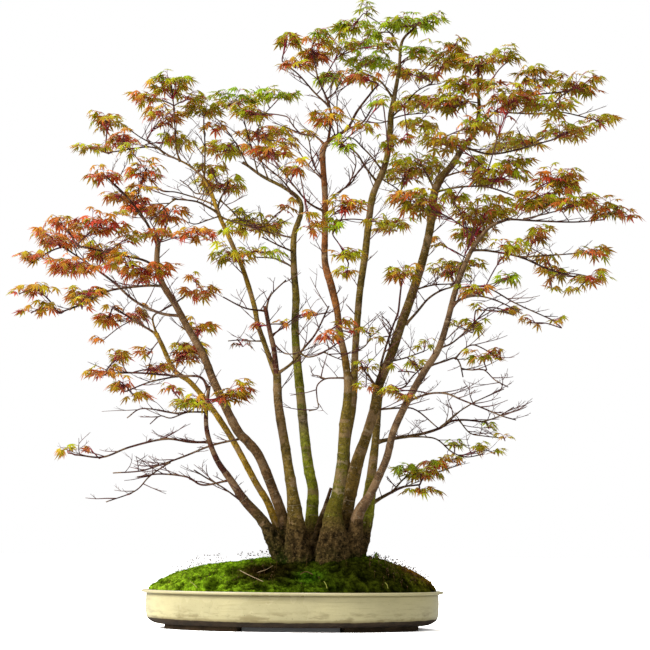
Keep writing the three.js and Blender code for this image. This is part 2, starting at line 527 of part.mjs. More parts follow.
function moss() {
  const edge = RIM_INSET + 2 * GAP;
  const levels = [[POT_HEIGHT - 2, edge + 1], [POT_HEIGHT + 0.5, edge]];
  for (const share of MOSS_RINGS) {
    levels.push([mossHeight, edge, share]);
  }
  const under = [[0, 0], [SOIL_EDGE + GAP, 0], [SOIL_EDGE + GAP, SOIL_INSET]];
  for (const share of SOIL_RINGS) {
    under.push([(x, y) => soilHeight(x, y) + GAP, SOIL_INSET, share]);
  }
  return ovalStack(levels, MOSS_SIDES, POT_OVAL)
    .subtract(ovalStack(under, POT_SIDES, POT_OVAL)).subtract(rootHole());
}

// ---------------------------------------------------------------- tree: root base, stems and boughs

const traces = { ...STEMS };

// The depth of a traced limb where it passes nearest to a pixel.
function depthNear(trace, x, y) {
  let nearest = Infinity;
  let depth = 0;
  for (let i = 0; i + 1 < trace.length; i += 1) {
    const [fromX, fromY, fromDepth] = trace[i];
    const [toX, toY, toDepth] = trace[i + 1];
    const length = (toX - fromX) ** 2 + (toY - fromY) ** 2;
    const along = ((x - fromX) * (toX - fromX) + (y - fromY) * (toY - fromY)) / length;
    const t = THREE.MathUtils.clamp(along, 0, 1);
    const miss = Math.hypot(fromX + t * (toX - fromX) - x, fromY + t * (toY - fromY) - y);
    if (miss < nearest) {
      nearest = miss;
      depth = fromDepth + t * (toDepth - fromDepth);
    }
  }
  return depth;
}

for (const [name, [parent, endDepth, startWidth, endWidth, points]] of Object.entries(BOUGHS)) {
  const startDepth = depthNear(traces[parent], points[0][0], points[0][1]);
  const share = (i) => i / (points.length - 1);
  traces[name] = points.map(([x, y], i) => [
    x, y, startDepth + (endDepth - startDepth) * share(i), startWidth + (endWidth - startWidth) * share(i),
  ]);
}

function traced(name) {
  const trace = traces[name];
  const points = trace.map(([x, y, depth]) => at(x, y, depth));
  const radii = trace.map(([, , , width]) => (width * PIXEL_SIZE) / 2);
  const stemSides = radii[0] > THICK_STEM_RADIUS ? 6 : 5;
  const boughSides = radii[0] > THICK_BOUGH_RADIUS ? 4 : 3;
  return limb(points, radii, name in STEMS ? stemSides : boughSides, trace.length - 1);
}

function rootBase() {
  const ridge = (x, y) => 1 + ROOT_RIDGE_DEPTH * Math.cos(ROOT_RIDGES * Math.atan2(y, x));
  const ridges = (share) => (x, y) => share * ridge(x, y);
  const levels = [[ROOT_BOTTOM, 0], [ROOT_SHOULDER, 0]];
  for (const [rise, share] of ROOT_TAPER) {
    levels.push([ROOT_SHOULDER + rise, 0, ridges(share)]);
  }
  return ovalStack(levels, ROOT_SIDES, ROOT_OVAL);
}

// Every solid placed so far, with the node that it belongs to, to keep nodes clear of each other.
const placed = [];

function place(node, body) {
  placed.push({ node, body, bounds: body.boundingBox() });
  return body;
}

function isClear(body, ownNode) {
  const mine = body.boundingBox();
  return placed.every(({ node, body: other, bounds }) => {
    if (node === ownNode) {
      return true;
    }
    const apart = [0, 1, 2].some((axis) => (
      mine.min[axis] > bounds.max[axis] + CLEARANCE || mine.max[axis] < bounds.min[axis] - CLEARANCE
    ));
    return apart || body.minGap(other, CLEARANCE) >= CLEARANCE;
  });
}

// ---------------------------------------------------------------- leafy sprays

// A five-lobed leaf, from one side of its base round to the other, as the angle and the distance of
// each lobe's tip and each notch from the heart, where the veins meet.
const HEART = 0.24;
const LEAF_OUTLINE = [
  [-112, 0.36], [-84, 0.15], [-52, 0.62], [-27, 0.24], [0, 0.76], [27, 0.24], [52, 0.62], [84, 0.15],
  [112, 0.36],
];

// One closed body: a three-sided stalk from the root to the blade's base, and the blade, which is two
// fans round the heart that meet at the outline.
function leaf(root, base, along, face) {
  const across = new THREE.Vector3().crossVectors(face, along).normalize();
  const normal = new THREE.Vector3().crossVectors(along, across);
  const spot = (x, y, z) => base.clone().addScaledVector(along, x)
    .addScaledVector(across, y).addScaledVector(normal, z);
  const ring = (centre, way) => {
    const side = across.clone().addScaledVector(way, -across.dot(way)).normalize();
    const upper = new THREE.Vector3().crossVectors(way, side);
    return [-30, 210, 90].map((degrees) => {
      const angle = THREE.MathUtils.degToRad(degrees);
      return centre.clone().addScaledVector(side, -Math.cos(angle) * PETIOLE_RADIUS)
        .addScaledVector(upper, Math.sin(angle) * PETIOLE_RADIUS);
    });
  };
  const rim = LEAF_OUTLINE.map(([degrees, far]) => {
    const angle = THREE.MathUtils.degToRad(degrees);
    const x = (HEART + far * Math.cos(angle)) * LEAF_LENGTH;
    return spot(x, far * Math.sin(angle) * LEAF_LENGTH, -LEAF_DROOP * far * far);
  });
  const heart = [LEAF_HALF_THICKNESS, -LEAF_HALF_THICKNESS].map((z) => spot(HEART * LEAF_LENGTH, 0, z));
  const start = ring(root, base.clone().sub(root).normalize());
  const corners = [...start, ...ring(base, along), ...heart, ...rim];
  const [above, below, firstRim] = [6, 7, 8];
  const [right, left, top] = [3, 4, 5];
  const round = [right, ...rim.map((_, i) => firstRim + i), left];
  const faces = [0, 2, 1, above, left, top, above, top, right, below, right, left];
  for (const [near, next] of [[right, top], [top, left], [left, right]]) {
    faces.push(near - 3, near, next, near - 3, next, next - 3);
  }
  for (let i = 0; i + 1 < round.length; i += 1) {
    faces.push(above, round[i], round[i + 1], below, round[i + 1], round[i]);
  }
  const geometry = new THREE.BufferGeometry().setFromPoints(corners);
  geometry.setIndex(faces);
  return solid(geometry);
}

// The traced points that a spray may grow from, the best first: near, below and not too thick.
function startsFor(target) {
  const starts = [];
  for (const [name, trace] of Object.entries(traces)) {
    const first = name in STEMS ? 4 : 1;
    for (let i = first; i < trace.length; i += 1) {
      const [x, y, depth, width] = trace[i];
      const point = at(x, y, depth);
      const isEnd = i === trace.length - 1;
      const heading = point.clone().sub(at(...trace[i - 1].slice(0, 3))).normalize();
      const drop = Math.max(0, point.z - target.z);
      const turn = isEnd ? 15 * (1 - heading.dot(target.clone().sub(point).normalize())) : 0;
      const cost = point.distanceTo(target) + drop + Math.max(0, width - 6) * 10 + turn;
      const reach = isEnd ? cost * 0.7 : cost;
      starts.push({ point, heading, isEnd, radius: (width * PIXEL_SIZE) / 2, reach });
    }
  }
  return starts.sort((a, b) => a.reach - b.reach);
}

function bent(from, to, sideways, rise) {
  const middle = from.clone().lerp(to, 0.5);
  const length = from.distanceTo(to);
  return middle.add(new THREE.Vector3(0, sideways * length, rise * length));
}

// A spray's stalk: it carries on from the flat end of a bough, or of a short spur on a limb's side.
function growStalk(node, hub) {
  for (const start of startsFor(hub).slice(0, 16)) {
    for (const [sideways, rise] of WAYS_ROUND) {
      const middle = bent(start.point, hub, sideways, rise);
      const heading = start.isEnd ? start.heading : middle.clone().sub(start.point).normalize();
      const spurLength = start.isEnd ? 0 : start.radius + SPUR_LENGTH;
      const cut = start.point.clone().addScaledVector(heading, spurLength);
      const begin = cut.clone().addScaledVector(heading, CUT_GAP);
      const knee = begin.clone().addScaledVector(heading, SPUR_LENGTH);
      const radius = start.isEnd ? start.radius : STALK_RADIUS;
      const spur = start.isEnd ? null : limb([start.point, cut], [radius, radius], 3, 1);
      const stalk = limb([begin, knee, middle, hub], [radius, radius, radius * 0.85, HUB_RADIUS], 3, 3);
      const onward = hub.clone().sub(knee);
      const runsOn = onward.length() > SPUR_LENGTH && onward.normalize().dot(heading) > LEAST_TURN;
      if (runsOn && (!spur || isClear(spur, "tree")) && isClear(stalk, node)) {
        if (spur) {
          place("tree", spur);
        }
        return { spur, stalk: place(node, stalk), back: middle.sub(hub) };
      }
    }
  }
  return null;
}

function growTwig(node, from, to) {
  for (const [sideways, rise] of WAYS_ROUND) {
    const middle = bent(from, to, sideways, rise);
    const twig = limb([from, middle, to], [HUB_RADIUS, HUB_RADIUS], 3, 2);
    if (isClear(twig, node)) {
      return { stalk: place(node, twig), back: middle.sub(to) };
    }
  }
  return null;
}

function isApart(one, other) {
  return !other || one.minGap(other, CLEARANCE) >= CLEARANCE;
}

// Tries a leaf in a few attitudes and keeps the first that is fast to its twig and clear of the rest.
function growLeaf({ node, own, draw }, twig, root, base, outward) {
  for (let attempt = 0; attempt < LEAF_ATTEMPTS; attempt += 1) {
    const swing = (draw() - 0.5) * (0.5 + attempt * 0.25);
    const along = outward.clone().applyAxisAngle(UP, swing);
    along.z -= 0.2 + 0.45 * draw();
    along.normalize();
    const face = UP.clone().applyAxisAngle(along, (draw() - 0.5) * 1.6);
    const spot = base.clone();
    spot.z += (draw() - 0.5) * attempt;
    const blade = leaf(spot.clone().addScaledVector(along, -1), spot, along, face);
    const whole = leaf(root, spot, along, face);
    const isFast = !whole.intersect(twig.stalk).isEmpty();
    const isLoose = own.every((each) => isApart(blade, each.whole) && isApart(whole, each.blade));
    if (isFast && isLoose && isClear(whole, node)) {
      own.push({ whole, blade });
      return place(node, whole);
    }
  }
  return null;
}

// One pad: leaves spread from the last stretch of its twig, the first ones out to the pad's edge.
function growPad(spray, twig, hub, [, , halfWidth, halfHeight]) {
  const { draw } = spray;
  const reachX = halfWidth * PIXEL_SIZE;
  const reachY = Math.max(0.9 * reachX, LEAF_LENGTH);
  const count = 1 + Math.floor((Math.PI * halfWidth * halfHeight) / LEAF_SHARE);
  const outer = Math.ceil(count * 0.7);
  const turn = draw() * 2 * Math.PI;
  const grown = [];
  for (let i = 0; i < count; i += 1) {
    const isOuter = i < outer;
    const angle = turn + (isOuter ? (i * 2 * Math.PI) / outer : i * GOLDEN_ANGLE);
    const outward = new THREE.Vector3(Math.cos(angle), Math.sin(angle), 0);
    const share = isOuter ? 1 : 0.35;
    const base = hub.clone().add(new THREE.Vector3(
      outward.x * Math.max((reachX - 0.7 * LEAF_LENGTH) * share, SHORTEST_PETIOLE),
      outward.y * Math.max((reachY - 0.7 * LEAF_LENGTH) * share, SHORTEST_PETIOLE),
      (draw() - (isOuter ? 0.3 : -0.4)) * halfHeight * PIXEL_SIZE,
    ));
    const down = Math.min(0.9, (PETIOLE_STEP * (i + 0.5)) / twig.back.length());
    const root = hub.clone().addScaledVector(twig.back, down);
    grown.push(growLeaf(spray, twig, root, base, outward));
  }
  return grown.filter(Boolean);
}

function hubOf([x, y, , halfHeight, depth]) {
  return at(x, y + halfHeight * HUB_DROP, depth);
}

function growSpray(pads, index) {
  const node = `spray_${String(index + 1).padStart(2, "0")}`;
  const spray = { node, own: [], draw: dice(index + 1) };
  const hubs = pads.map(hubOf);
  const first = growStalk(node, hubs[0]);
  const solids = [];
  let reached = hubs[0];
  pads.forEach((pad, i) => {
    const twig = i === 0 ? first : growTwig(node, reached, hubs[i]);
    if (twig) {
      reached = hubs[i];
      spray.own.push({ whole: twig.stalk });
      solids.push(twig.stalk, ...growPad(spray, twig, reached, pad));
    }
  });
  return { node, spur: first.spur, body: join(solids), tint: pads[0][5] };
}

// ---------------------------------------------------------------- the whole

const glaze = finish(0xc8be91, 0.25);
const earth = finish(0x2a1d12, 1);
const green = finish(0x4c6a14, 1);
const bark = finish(0x6b5a34, 0.8);
const plastic = finish(0x222222, 0.6);
const wire = finish(0xb8b8b8, 0.4);
const TINTS = {
  red: finish(0xb8472f, 0.6),
  orange: finish(0xd07a32, 0.6),
  gold: finish(0xa9a52c, 0.6),
  olive: finish(0x7f7f22, 0.6),
  green: finish(0x6ca312, 0.6),
};

const tree = [place("tree", rootBase()), ...Object.keys(traces).map((name) => place("tree", traced(name)))];
const sprays = SPRAYS.map(growSpray);
const spurs = sprays.flatMap(({ spur }) => spur ?? []);

const bonsai = new THREE.Group();
bonsai.add(meshOf("pot", pot(), glaze));
for (const [name, x] of [["left", -DRAIN_PLACE], ["right", DRAIN_PLACE]]) {
  bonsai.add(meshOf(`screen_${name}`, screen(x), plastic));
  bonsai.add(meshOf(`clip_${name}`, clip(x), wire));
}
bonsai.add(meshOf("soil", soil(), earth));
bonsai.add(meshOf("moss", moss(), green));
bonsai.add(meshOf("tree", join([...tree, ...spurs]), bark));
for (const { node, body, tint } of sprays) {
  bonsai.add(meshOf(node, body, TINTS[tint]));
}

// The origin goes under the middle of the whole.
const bounds = new THREE.Box3().setFromObject(bonsai);
const middle = bounds.getCenter(new THREE.Vector3());
bonsai.position.set(-middle.x, -middle.y, -bounds.min.z);

export default bonsai;
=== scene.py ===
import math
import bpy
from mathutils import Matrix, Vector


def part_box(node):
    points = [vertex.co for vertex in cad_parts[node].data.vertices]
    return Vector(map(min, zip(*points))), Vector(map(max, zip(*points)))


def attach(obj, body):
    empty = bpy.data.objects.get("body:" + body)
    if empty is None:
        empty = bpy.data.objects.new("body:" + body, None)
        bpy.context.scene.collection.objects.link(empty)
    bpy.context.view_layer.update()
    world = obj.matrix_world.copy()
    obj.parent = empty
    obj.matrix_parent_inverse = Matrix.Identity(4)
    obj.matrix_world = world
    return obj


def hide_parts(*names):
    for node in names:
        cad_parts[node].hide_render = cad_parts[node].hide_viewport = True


bl_info = {
    "name": "Maple Clump Bonsai",
    "version": (1, 0, 0),
    "blender": (4, 5, 0),
    "location": "View3D > Sidebar > Bonsai",
    "description": "A clump-style maple bonsai with lobed leaves in a shallow glazed pot",
    "category": "Add Mesh",
}

import bpy
import numpy as np
from mathutils import Matrix, Vector, noise

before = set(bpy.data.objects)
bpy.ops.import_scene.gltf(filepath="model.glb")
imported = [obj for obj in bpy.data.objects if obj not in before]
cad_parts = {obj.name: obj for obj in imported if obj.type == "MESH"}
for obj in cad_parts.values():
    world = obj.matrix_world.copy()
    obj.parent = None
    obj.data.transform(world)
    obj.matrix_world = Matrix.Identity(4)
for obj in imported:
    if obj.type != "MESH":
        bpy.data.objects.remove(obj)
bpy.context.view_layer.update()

# ---------------------------------------------------------------- sizes

# Sizes are in metres where MM is written, or where they come from the solids, and else in
# millimetres.

MM = 0.001
POT_LOW, POT_HIGH = (Vector(corner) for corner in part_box("pot"))
POT_X = (POT_LOW.x + POT_HIGH.x) / 2
POT_Y = (POT_LOW.y + POT_HIGH.y) / 2
RIM_HALF_LENGTH = (POT_HIGH.x - POT_LOW.x) / 2
RIM_HALF_WIDTH = (POT_HIGH.y - POT_LOW.y) / 2
RIM_HEIGHT = POT_HIGH.z
FOOT_HEIGHT = 6 * MM
FOOT_OVERLAP = 1.5 * MM
GLAZE_BOTTOM = 13.4 * MM
POT_SIDES = 144

# The pot's outline, as height and inset from the rim's oval, from its underside up over the lip and
# down the inside to the floor.
POT_OUTLINE = [
    (6, 25), (6.8, 20.5), (8.2, 16.6), (10.2, 13.2), (12.4, 10.6), (14.8, 8.8), (18, 7.5),
    (24, 6.8), (36, 6.4), (46, 6.8), (48.6, 7), (49.4, 5.4), (49.8, 2.4), (50.4, 0.7), (51.6, 0),
    (52.8, 0.2), (53.6, 1.1), (54, 2.7), (54, 6), (53.2, 8.6), (51.5, 10.1), (44, 13.6), (24, 16.6),
    (16, 19), (13, 25),
]
FOOT_INSET = 23
FOOT_WALL = 18
FOOT_GAP_FRONT = 141
FOOT_GAP_END = 90
DRAIN_PLACE = 95
DRAIN_RADIUS = 12

# Heights between which the painted shadow in the groove under the lip, the lip, the painted
# highlight on the lip's top and the smears on the wall's lower half fade in.
GROOVE_SHADOW_HEIGHTS = (46.2 * MM, 48.8 * MM)
LIP_HEIGHTS = (49.8 * MM, 50.4 * MM)
LIP_HIGHLIGHT_HEIGHTS = (51.2 * MM, 53.6 * MM)
SMEAR_HEIGHTS = (36 * MM, 16 * MM)

MOUND_RISE = 46
MOUND_POWER = 1.8
MOSS_INSET = 10.4
RIGHT_CUSHION = 15
LEFT_CUSHION = 6
MOSS_EDGE = 2
MOSS_DEPTH = 6
BUMP_DEPTH = 3.4 * MM
TUFT_BLADES = 5

# The turn from each twig of a pad to the next.
GOLDEN_TURN = math.radians(137.5)

# Heights between which the old rough bark gives way to smooth bark.
OLD_BARK_HEIGHTS = (176 * MM, 132 * MM)
# The tone of old bark on the stems that start below the first height fades from the second up.
OLD_FOOT_HEIGHT = 150 * MM
OLD_TONE_HEIGHT = 120 * MM
OLD_TONE_FADE = 22 * MM
# Below this height the stems grow slimmer, inside the root base.
BURIED_HEIGHT = 148 * MM
BURIED_FADE = 12 * MM
# The root base's ridges fade out up to this height, and the stems' tones fade in from this one.
RIDGE_HEIGHT = 165 * MM
RIDGE_FADE = 40 * MM
YOUNG_BARK_HEIGHT = 134 * MM
YOUNG_BARK_FADE = 36 * MM
# Bare twigs grow up to the first height, and on the stems only from the second.
TWIG_TOP = 870 * MM
STEM_TWIG_BOTTOM = 330 * MM
# The stems that start below this pixel grow from the root base.
BASE_TOP = 512
BASE_MIDDLE = np.array((POT_X + 35 * MM, POT_Y - 6 * MM, 0))
ROOTS = 11

# The viewpoint from which the traces below were drawn, on a picture of 650 by 650 pixels.
PICTURE_SIZE = 650
PICTURE_MIDDLE = 325
EYE_DISTANCE = 2700
EYE_HEIGHT = 119
EYE_RIGHT = 43
EYE_TILT = math.radians(6.66)
EYE_ROLL = math.radians(0.5)
FOCAL_PIXELS = 1878
PIXEL = 1.44 * MM


def at(pixel_x, pixel_y, depth):
    """The place of a traced pixel, at a depth in millimetres behind the pot's long axis."""
    x = pixel_x - PICTURE_MIDDLE
    y = pixel_y - PICTURE_MIDDLE
    across = (x * math.cos(EYE_ROLL) + y * math.sin(EYE_ROLL)) / FOCAL_PIXELS
    down = (y * math.cos(EYE_ROLL) - x * math.sin(EYE_ROLL)) / FOCAL_PIXELS
    ahead = math.cos(EYE_TILT) + down * math.sin(EYE_TILT)
    rise = math.sin(EYE_TILT) - down * math.cos(EYE_TILT)
    reach = (depth + EYE_DISTANCE) / ahead
    return np.array((
        POT_X + (EYE_RIGHT + across * reach) * MM,
        POT_Y + depth * MM,
        (EYE_HEIGHT + rise * reach) * MM,
    ))


# ---------------------------------------------------------------- traces of the tree

# A stem: its bark's tone below and above, and its points as pixel x, pixel y, depth in millimetres
# and width in pixels.
STEMS = {
    "red_front": ("grey_brown", "dark_red", [
        (284, 562, -28, 21), (265.5, 525, -40, 10.5), (245, 501, -48, 9), (230, 479, -55, 7),
        (217, 460, -60, 5.6), (208, 436, -62, 4.8), (206, 415, -60, 4.2), (209, 386, -52, 3.4)]),
    "yellow_back": ("yellow", "yellow", [
        (281, 556, 20, 12), (277, 528, 22, 7.5), (268, 503, 28, 7), (256, 483, 34, 6.6),
        (235, 444, 46, 6.2), (220, 420, 52, 6), (207, 402, 58, 5.6), (190, 382, 62, 5.2),
        (174, 370, 66, 5), (162, 345, 70, 4.6), (156, 333, 74, 4.2)]),
    "brown_left": ("tan", "tan", [
        (290, 558, -8, 16), (284, 522, -12, 10.5), (276, 498, -16, 10), (260, 458, -25, 9.4),
        (248, 442, -28, 9.2), (236, 428, -30, 9), (214, 382, -28, 8), (203, 354, -25, 7.5),
        (189, 330, -20, 7), (175, 304, -15, 6.6), (161, 281, -10, 6.4), (157, 262, -8, 6),
        (158, 243, -5, 5)]),
    "olive_front": ("olive", "olive", [
        (299, 562, -36, 28), (295, 515, -45, 15), (292, 490, -46, 11), (288, 465, -46, 9.6),
        (285, 445, -45, 9.2), (281, 422, -44, 9), (278, 400, -42, 8.6), (277, 374, -42, 8)]),
    "slender_left": ("olive", "yellow", [
        (277, 378, -42, 6), (271, 362, -38, 5.2), (265, 345, -30, 5), (258, 325, -20, 5),
        (254, 305, -10, 5), (244, 272, 8, 4.8), (236, 253, 18, 4.6), (228, 235, 26, 4.5),
        (219, 215, 34, 4.2), (211, 192, 42, 4), (204, 178, 48, 3.6)]),
    "stub_red": ("dark_red", "dark_red", [
        (277, 378, -42, 6), (274, 350, -48, 5), (270, 332, -54, 4.6), (265, 306, -58, 4)]),
    "green_back": ("moss_green", "olive", [
        (311, 560, 28, 18), (312, 515, 36, 13), (313, 490, 42, 11), (309, 470, 46, 10.6),
        (305, 440, 50, 10), (301, 400, 55, 9.4), (297, 360, 60, 8.6), (295, 325, 64, 7.6),
        (296, 298, 66, 7.6), (294, 270, 70, 6.6), (294, 236, 76, 6), (301, 213, 80, 5),
        (299, 199, 84, 4.2), (283, 187, 90, 3.6), (262, 176, 94, 3.2), (243, 162, 98, 2.6)]),
    "orange_front": ("green_olive", "orange", [
        (334, 566, -30, 43), (334, 540, -44, 28), (333, 515, -47, 17), (337, 498, -48, 13),
        (340, 480, -50, 11.6), (343, 455, -52, 11), (345, 425, -54, 11.5), (347, 405, -55, 9),
        (348, 385, -56, 8), (345, 358, -58, 7), (340, 335, -58, 6.6), (337, 310, -60, 6.6),
        (331, 285, -60, 7.6), (325, 262, -60, 6.6), (325, 230, -58, 6), (325, 195, -56, 6),
        (323, 165, -54, 5.8), (323, 150, -52, 6.4), (331, 139, -48, 3.6), (347, 129, -44, 2.8),
        (358, 110, -40, 2.4), (375, 88, -36, 1.8)]),
    "olive_back": ("olive", "olive", [
        (348, 558, 8, 18), (347, 515, 14, 12), (346, 480, 18, 10), (346, 445, 22, 8.6),
        (352, 410, 30, 8), (354, 385, 36, 7.6), (355, 355, 44, 7), (357, 325, 50, 7),
        (360, 290, 58, 7), (365, 255, 66, 7.4), (369, 220, 74, 7), (373, 195, 80, 7),
        (384, 168, 86, 6.6), (389, 145, 90, 6), (391, 115, 94, 6.4), (394, 98, 98, 5),
        (399, 70, 102, 3.6), (402, 42, 108, 3), (414, 28, 112, 2.2)]),
    "main_right": ("olive_brown", "olive_brown", [
        (343, 560, -20, 24), (346, 512, -20, 15), (352, 485, -20, 13.5), (358, 460, -20, 12.4),
        (366, 437, -20, 10.2), (374, 410, -20, 9.6), (379, 385, -18, 9.4), (391, 355, -14, 9),
        (401, 325, -10, 9), (409, 303, -6, 9), (419, 273, 0, 8.6), (427, 243, 6, 8),
        (431, 222, 10, 8.4), (434, 195, 14, 8.4), (441, 178, 16, 8), (452, 165, 20, 6.6),
        (464, 146, 26, 5.6), (475, 132, 32, 4.8), (479, 110, 36, 4), (478, 88, 40, 3.2),
        (478, 68, 44, 2.4)]),
    "brown_right": ("brown", "brown", [
        (352, 558, -36, 18), (357, 518, -40, 12), (370, 495, -48, 8.6), (379, 476, -54, 7.6),
        (387, 457, -60, 7.4), (394, 430, -66, 7), (408, 400, -72, 7), (424, 372, -78, 6.8),
        (438, 350, -82, 6.4), (447, 323, -86, 5.8), (455, 292, -90, 5.4), (466, 262, -92, 4.6),
        (475, 245, -92, 4.2), (490, 227, -90, 3.2), (508, 219, -88, 2.8)]),
    "green_right": ("moss_green", "olive", [
        (353, 562, 20, 22), (364, 520, 16, 18), (369, 498, 14, 13), (371.5, 475, 14, 9.6),
        (374.5, 450, 16, 8.2), (377, 425, 20, 7), (379, 405, 22, 5.6), (382, 388, 16, 4)]),
    "dark_slip": ("dark_base", "dark_base", [
        (316, 545, -8, 10), (320, 522, -12, 6), (325, 507, -16, 4), (331, 488, -22, 3)]),
}

